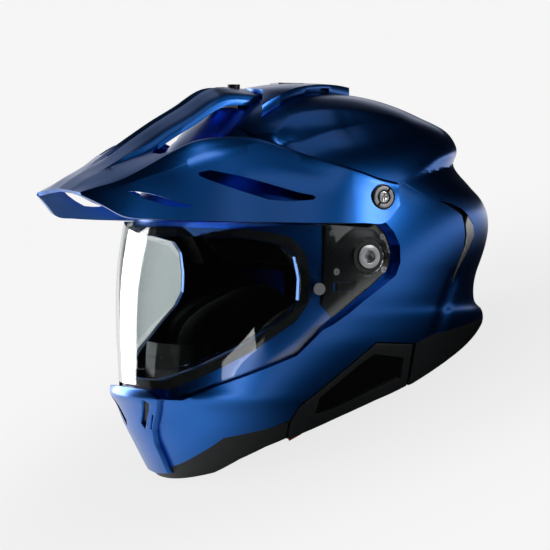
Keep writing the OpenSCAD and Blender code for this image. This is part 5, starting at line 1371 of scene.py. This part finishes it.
@dataclass
class Peak:
    """The long faceted peak: a bent sheet with openings, slots and screw bores."""
    shop: Workshop
    rows: tuple = (
        (-1, 0.397, (0.2, 0.385), (0.35, 0.377), (0.354, 0.373), (0.358, 0.37), (0.366, 0.36)),
        (-0.94, 0.46, (0.205, 0.45), (0.41, 0.41), (0.425, 0.386), (0.44, 0.362), (0.47, 0.30)),
        (-0.88, 0.515, (0.21, 0.5), (0.46, 0.44), (0.484, 0.41), (0.51, 0.355), (0.56, 0.238)),
        (-0.785, 0.62, (0.22, 0.585), (0.52, 0.52), (0.563, 0.465), (0.59, 0.385), (0.645, 0.223)),
        (-0.69, 0.72, (0.23, 0.665), (0.575, 0.61), (0.634, 0.518), (0.66, 0.415), (0.717, 0.215)),
        (-0.61, 0.8, (0.235, 0.745), (0.62, 0.67), (0.676, 0.562), (0.71, 0.44), (0.77, 0.211)),
        (-0.515, 0.885, (0.24, 0.83), (0.67, 0.692), (0.719, 0.612), (0.765, 0.462), (0.827, 0.207)),
        (-0.39, 1, (0.24, 0.945), (0.735, 0.685), (0.7535, 0.662), (0.828, 0.477), (0.885, 0.204)),
        (-0.22, 1, (0.24, 0.95), (0.84, 0.585), (0.845, 0.575), (0.905, 0.446), (0.958, 0.2)),
        (-0.07, 1, (0.24, 0.95), (0.9, 0.51), (0.903, 0.503), (0.95, 0.4), (0.99, 0.198)),
        (-0.03, 1, (0.24, 0.95), (0.912, 0.49), (0.915, 0.484), (0.964, 0.38), (1.002, 0.198)),
        (0.05, 1, (0.24, 0.95), (0.93, 0.446), (0.933, 0.44), (0.97, 0.346), (1, 0.197)),
        (0.125, 1, (0.24, 0.95), (0.94, 0.42), (0.9415, 0.418), (0.97, 0.36), (0.985, 0.3)),
    )
    clear_from: float = -0.25
    groove_depth: float = 5 * MM
    groove_half: float = 8 * MM
    foot_drop: float = 5 * MM
    wing_slot: Outline = ((-0.618, 0.49), (-0.575, 0.505), (-0.472, 0.47), (-0.371, 0.423), (-0.27, 0.374),
                          (-0.218, 0.359), (-0.21, 0.347), (-0.22, 0.333), (-0.31, 0.322), (-0.38, 0.333),
                          (-0.463, 0.375), (-0.547, 0.423), (-0.615, 0.469))
    brow_slot: Outline = ((-0.855, 0.383), (-0.815, 0.379), (-0.752, 0.354), (-0.689, 0.316), (-0.641, 0.296),
                          (-0.65, 0.291), (-0.689, 0.29), (-0.736, 0.296), (-0.784, 0.325), (-0.831, 0.36))

    def knots(self) -> np.ndarray:
        """Return the places of the ridges, as rows by ridges by coordinates."""
        places = []
        for reach, middle, arm, ridge, band, crease, lower in self.rows:
            y = reach * PEAK_REACH
            grown = np.interp(y, (-178 * MM, -145 * MM), (0, 1))
            top = middle * PEAK_TOP
            line = [(0, y, top - grown * self.groove_depth),
                    (self.groove_half, y, top - 0.06 * self.groove_half)]
            edge = SHELL_HALF * arm[0], arm[1] * PEAK_TOP
            line.append((edge[0], y, edge[1]))
            line.append((edge[0] + 1.5 * MM, y, edge[1] - grown * self.foot_drop - 0.3 * MM))
            for point, gaps in ((ridge, 2.5), (band, 2.5), (crease, 1), (lower, 1)):
                x, z = SHELL_HALF * point[0], CROWN * point[1]
                if reach > self.clear_from:
                    skin = Sections(SKIN).half_width(np.array([y]), np.array([z]))[0]
                    x = max(x, skin + PEAK_WALL + gaps * MM)
                line.append((x, y, z))
            places.append(line)
        return np.array(places)

    def ridges(self) -> np.ndarray:
        """Return smooth ridge lines, as points along by ridges by coordinates."""
        knots = self.knots()
        lines = [smooth_line(knots[:, k], 6) for k in range(knots.shape[1])]
        return np.stack(lines, axis=1)

    def opening(self, ridges: np.ndarray) -> list[tuple[float, float]]:
        """Return the opening between an arm and its wing, seen from above."""
        front = [(0.25 * SHELL_HALF, -0.66 * PEAK_REACH), (0.34 * SHELL_HALF, -0.71 * PEAK_REACH),
                 (0.46 * SHELL_HALF, -0.71 * PEAK_REACH)]
        wing = [(p[0] - 3 * MM, p[1]) for p in ridges[:, 4] if p[1] > -0.70 * PEAK_REACH]
        back = [(wing[-1][0], 0.3 * PEAK_REACH), (-0.001, 0.3 * PEAK_REACH), (-0.001, -0.235 * PEAK_REACH),
                (0.25 * SHELL_HALF, -0.235 * PEAK_REACH)]
        return front + wing[::3] + back

    def build(self) -> None:
        """Build the peak."""
        ridges = self.ridges()
        per = 3
        count = ridges.shape[1]
        obj, column, row = grid("peak_smooth", (count - 1) * per, len(ridges) - 1)
        ridge = np.minimum(column // per, count - 2)
        share = ((column - ridge * per) / per)[:, None]
        write_points(obj, ridges[row, ridge] * (1 - share) + ridges[row, ridge + 1] * share)
        make_active(obj)
        mirror = obj.modifiers.new("mirror", "MIRROR")
        mirror.merge_threshold = 0.01 * MM
        apply_modifiers(obj)
        outward(obj)
        points = read_points(obj)
        if obj.data.polygons[np.argmax([abs(p.normal.z) for p in obj.data.polygons])].normal.z < 0:
            obj.data.flip_normals()
        LOG.info("peak sheet: %d points", len(points))
        make_active(obj)
        bpy.ops.object.mode_set(mode="EDIT")
        bpy.ops.mesh.select_all(action="DESELECT")
        bpy.ops.mesh.select_mode(type="EDGE")
        bpy.ops.mesh.edges_select_sharp(sharpness=math.radians(14))
        bpy.ops.mesh.bevel(offset=1.0 * MM, segments=3, affect="EDGES", clamp_overlap=True)
        bpy.ops.mesh.select_mode(type="VERT")
        bpy.ops.object.mode_set(mode="OBJECT")
        thick = obj.modifiers.new("thick", "SOLIDIFY")
        thick.thickness = PEAK_WALL
        thick.offset = -1
        thick.use_even_offset = False
        apply_modifiers(obj)
        outward(obj)
        outline = self.opening(ridges)
        for flip in (1, -1):
            combine(obj, prism("opening", [(flip * x, y) for x, y in outline], 0, 0.3, View.TOP), Join.CUT)
        slot = ((-2.5 * MM, -0.8 * PEAK_REACH), (2.5 * MM, -0.8 * PEAK_REACH), (2.5 * MM, -0.42 * PEAK_REACH),
                (-2.5 * MM, -0.42 * PEAK_REACH))
        combine(obj, prism("arm_slot", slot, 0, 0.3, View.TOP), Join.CUT)
        for line in (self.wing_slot, self.brow_slot):
            combine(obj, side_prism("slot", [(a * PEAK_REACH, b * CROWN) for a, b in line]), Join.CUT)
        y, z = side_place((0.069, 0.349))
        for side in (-1, 1):
            combine(obj, cylinder("screw_bore", 9.8 * MM, (side * 0.11, y, z), (side * 0.15, y, z)), Join.CUT)
        self.shop.hand_over(obj, "peak_blue", nodes=["peak"], angle=22)


@dataclass(frozen=True)
class Lamp:
    """A soft box: its way from the helmet (right, up and towards the camera, or a direction of
    the worn frame), distance, width and height, and power in watts."""
    name: str
    way: tuple[float, float, float]
    distance: float
    size: tuple[float, float]
    power: float
    by_camera: bool = True


LAMPS = (
    Lamp("top_box", (0, 0.1, 1), 1.7, (1.0, 1.0), 1, by_camera=False),
    Lamp("front_strip", (-0.90, -0.43, 0.03), 1.8, (0.8, 1.8), 27, by_camera=False),
    Lamp("side_box", (0.8, 0.36, 0.55), 2.2, (1.8, 0.5), 2.4),
    Lamp("crease_box", (0.76, 0.29, 0.57), 2.1, (0.35, 0.35), 4),
    Lamp("rear_box", (0.97, 0.15, 0.15), 2.2, (1.0, 0.7), 5),
    Lamp("camera_box", (0.32, 0.45, 0.83), 2.4, (1.1, 0.5), 1.2),
    Lamp("chin_strip", (-0.27, -0.36, 0.92), 2.4, (0.9, 0.45), 3.5),
    Lamp("arm_box", (-0.78, 0.02, 0.63), 2.2, (0.9, 0.9), 0.8, by_camera=False),
    Lamp("band_box", (0.65, -0.33, 0.68), 2.4, (0.4, 0.4), 2.5, by_camera=False),
)


@dataclass
class Studio:
    """Floor, lamps and the camera of the photograph."""
    azimuth: float = math.radians(64)
    rise: float = math.radians(1.5)
    distance: float = 2.2
    shift_right: float = -17.2 * MM
    shift_up: float = -16.8 * MM
    white: float = 0.92
    dim: float = 0.004
    behind: tuple[float, float] = (-0.8, -1.0)
    # left_side, ring_start and ring_stop mark where reflections still see the floor white; everywhere else
    # reflections see it painted dark (painted shade)
    left_side: tuple[float, float] = (0.0, -0.2)
    ring_start: tuple[float, float] = (0.22, 0.42)
    ring_stop: tuple[float, float] = (0.45, 0.6)
    shadow_reach: tuple[float, float] = (0.05, 0.5)
    shadow_share: float = 0.85
    floor_size: float = 16
    floor_white: tuple[float, float, float] = (0.86, 0.86, 0.86)
    # the floor's colour in reflections: painted shade, near black although the floor is white
    floor_painted_dark_in_reflections: tuple[float, float, float] = (0.03, 0.03, 0.035)
    lens: float = 180
    sensor: float = 36

    def axes(self) -> tuple[Vector, Vector, Vector]:
        """Return the camera's way back, right and up in the worn frame."""
        a, e = self.azimuth, self.rise
        back = Vector((math.sin(a) * math.cos(e), -math.cos(a) * math.cos(e), math.sin(e)))
        right = Vector((math.cos(a), math.sin(a), 0))
        return back, right, back.cross(right)

    def place_camera(self) -> None:
        """Set the camera at the photograph's viewing angle."""
        back, right, up = self.axes()
        target = self.shift_right * right + self.shift_up * up
        turn = Matrix((right, up, back)).transposed().to_4x4()
        data = bpy.data.cameras.new("photo_camera")
        data.lens = self.lens
        data.sensor_width = self.sensor
        camera = bpy.data.objects.new("photo_camera", data)
        bpy.context.scene.collection.objects.link(camera)
        camera.matrix_world = TABLE @ Matrix.Translation(target + self.distance * back) @ turn
        bpy.context.scene.camera = camera

    @staticmethod
    def hang(lamp: Lamp, way: Vector) -> None:
        """Hang a soft box that faces the helmet.

        Args:
            lamp: The soft box.
            way: Direction from the helmet to the lamp in the worn frame.
        """
        data = bpy.data.lights.new(lamp.name, "AREA")
        data.shape = "RECTANGLE"
        data.size, data.size_y = lamp.size
        data.energy = lamp.power
        box_light = bpy.data.objects.new(lamp.name, data)
        bpy.context.scene.collection.objects.link(box_light)
        spot = TABLE @ (way.normalized() * lamp.distance)
        aim = (TABLE @ Vector((0, 0, 0))) - spot
        box_light.location = spot
        box_light.rotation_euler = aim.to_track_quat("-Z", "Y").to_euler()

    @staticmethod
    def join(nodes: bpy.types.Nodes, links: bpy.types.NodeLinks, how: str, first: bpy.types.NodeSocket,
             second: bpy.types.NodeSocket) -> bpy.types.NodeSocket:
        """Work out one number from two in a node tree."""
        node = nodes.new("ShaderNodeMath")
        node.operation = how
        links.new(first, node.inputs[0])
        links.new(second, node.inputs[1])
        return node.outputs["Value"]

    @staticmethod
    def along(nodes: bpy.types.Nodes, links: bpy.types.NodeLinks, place: bpy.types.NodeSocket,
              way: Vector) -> bpy.types.NodeSocket:
        """Measure a place along a direction of the worn frame."""
        node = nodes.new("ShaderNodeVectorMath")
        node.operation = "DOT_PRODUCT"
        node.inputs[1].default_value = TABLE.to_3x3() @ way
        links.new(place, node.inputs[0])
        return node.outputs["Value"]

    @staticmethod
    def fade(nodes: bpy.types.Nodes, links: bpy.types.NodeLinks, value: bpy.types.NodeSocket,
             reach: tuple[float, float], levels: tuple[float, float] = (0, 1),
             soft: bool = True) -> bpy.types.NodeSocket:
        """Let a level change over a stretch of a value.

        Args:
            nodes: The tree's nodes.
            links: The tree's links.
            value: The value that steers the level.
            reach: Values where the change starts and ends.
            levels: The level before and after it.
            soft: The change eases in and out.
        """
        node = nodes.new("ShaderNodeMapRange")
        if soft:
            node.interpolation_type = "SMOOTHSTEP"
        node.inputs["From Min"].default_value, node.inputs["From Max"].default_value = reach
        node.inputs["To Min"].default_value, node.inputs["To Max"].default_value = levels
        links.new(value, node.inputs["Value"])
        return node.outputs["Result"]

    def seen(self, nodes: bpy.types.Nodes, links: bpy.types.NodeLinks,
             mask: bpy.types.NodeSocket) -> tuple[bpy.types.NodeSocket, bpy.types.NodeSocket]:
        """Tell what a ray sees of the white background.

        Args:
            nodes: The tree's nodes.
            links: The tree's links.
            mask: Where a reflection or a look through glass shows the white.

        Returns:
            One for the camera and the mask's level for glass and reflections; and the
            socket that tells a reflection.
        """
        rays = nodes.new("ShaderNodeLightPath")
        passed = self.join(nodes, links, "MAXIMUM", rays.outputs["Is Glossy Ray"],
                           rays.outputs["Is Transmission Ray"])
        passed = self.join(nodes, links, "MULTIPLY", passed, mask)
        white = self.join(nodes, links, "MAXIMUM", rays.outputs["Is Camera Ray"], passed)
        return white, rays.outputs["Is Glossy Ray"]

    def light_world(self) -> None:
        """Make the world white to the camera, white behind the helmet in a reflection or through
        glass, and dim to everything else."""
        world = bpy.data.worlds.new("studio_world")
        bpy.context.scene.world = world
        world.use_nodes = True
        nodes, links = world.node_tree.nodes, world.node_tree.links
        background = nodes["Background"]
        background.inputs["Color"].default_value = (1, 1, 1, 1)
        way = nodes.new("ShaderNodeTexCoord").outputs["Generated"]
        facing = self.along(nodes, links, way, self.axes()[0])
        white, _ = self.seen(nodes, links, self.fade(nodes, links, facing, self.behind))
        level = self.fade(nodes, links, white, (0, 1), (self.dim, self.white), soft=False)
        links.new(level, background.inputs["Strength"])

    def lay_floor(self) -> None:
        """Lay a white floor that keeps the helmet's shadow and melts into the background; in reflections it
        is painted shade, dark everywhere except to the left and in a ring round the helmet, where it stays
        white.
        """
        deselect()
        bpy.ops.mesh.primitive_plane_add(size=self.floor_size, location=(0, 0, 0))
        floor = bpy.context.object
        floor.name = "floor"
        material = bpy.data.materials.new("floor_white")
        material.use_nodes = True
        nodes, links = material.node_tree.nodes, material.node_tree.links
        shader = nodes["Principled BSDF"]
        shader.inputs["Roughness"].default_value = 0.9
        shader.inputs["Specular IOR Level"].default_value = 0.1
        glow = nodes.new("ShaderNodeEmission")
        glow.inputs["Color"].default_value = (1, 1, 1, 1)
        glow.inputs["Strength"].default_value = self.white
        place = nodes.new("ShaderNodeTexCoord").outputs["Object"]
        length = nodes.new("ShaderNodeVectorMath")
        length.operation = "LENGTH"
        links.new(place, length.inputs[0])
        radius = length.outputs["Value"]
        left = self.fade(nodes, links, self.along(nodes, links, place, self.axes()[1]), self.left_side)
        inner = self.fade(nodes, links, radius, self.ring_start)
        outer = self.fade(nodes, links, radius, self.ring_stop, (1, 0))
        ring = self.join(nodes, links, "MULTIPLY", inner, outer)
        white, glossy = self.seen(nodes, links, self.join(nodes, links, "MAXIMUM", left, ring))
        near = self.fade(nodes, links, radius, self.shadow_reach, (self.shadow_share, 1))
        # painted shade: reflections see the floor dark outside the left side and the ring, though the camera
        # sees it white
        paint = nodes.new("ShaderNodeMix")
        paint.data_type = "RGBA"
        paint.inputs["A"].default_value = (*self.floor_white, 1)
        paint.inputs["B"].default_value = (*self.floor_painted_dark_in_reflections, 1)
        links.new(glossy, paint.inputs["Factor"])
        links.new(paint.outputs["Result"], shader.inputs["Base Color"])
        mix = nodes.new("ShaderNodeMixShader")
        links.new(self.join(nodes, links, "MULTIPLY", near, white), mix.inputs["Fac"])
        links.new(shader.outputs["BSDF"], mix.inputs[1])
        links.new(glow.outputs["Emission"], mix.inputs[2])
        links.new(mix.outputs["Shader"], nodes["Material Output"].inputs["Surface"])
        floor.data.materials.append(material)

    def build(self) -> None:
        """Set up the studio."""
        bpy.context.scene.view_settings.view_transform = "Standard"
        self.place_camera()
        self.light_world()
        self.lay_floor()
        back, right, up = self.axes()
        for lamp in LAMPS:
            across, high, ahead = lamp.way
            self.hang(lamp, across * right + high * up + ahead * back if lamp.by_camera else Vector(lamp.way))


def main() -> None:
    """Build the studio and the helmet's pieces in order."""
    logging.basicConfig(level=logging.INFO, format="%(relativeCreated)7d ms %(name)s: %(message)s")
    studio = Studio()
    studio.build()
    shop = Workshop()
    Shell(shop).build()
    SidePanels(shop).build()
    Visor(shop).build()
    Peak(shop).build()
    Crown(shop).build()
    Nose(shop).build()
    Mechanism(shop).build()
    Lining(shop).build()
    Straps(shop).build()


if __name__ == "__main__":
    main()
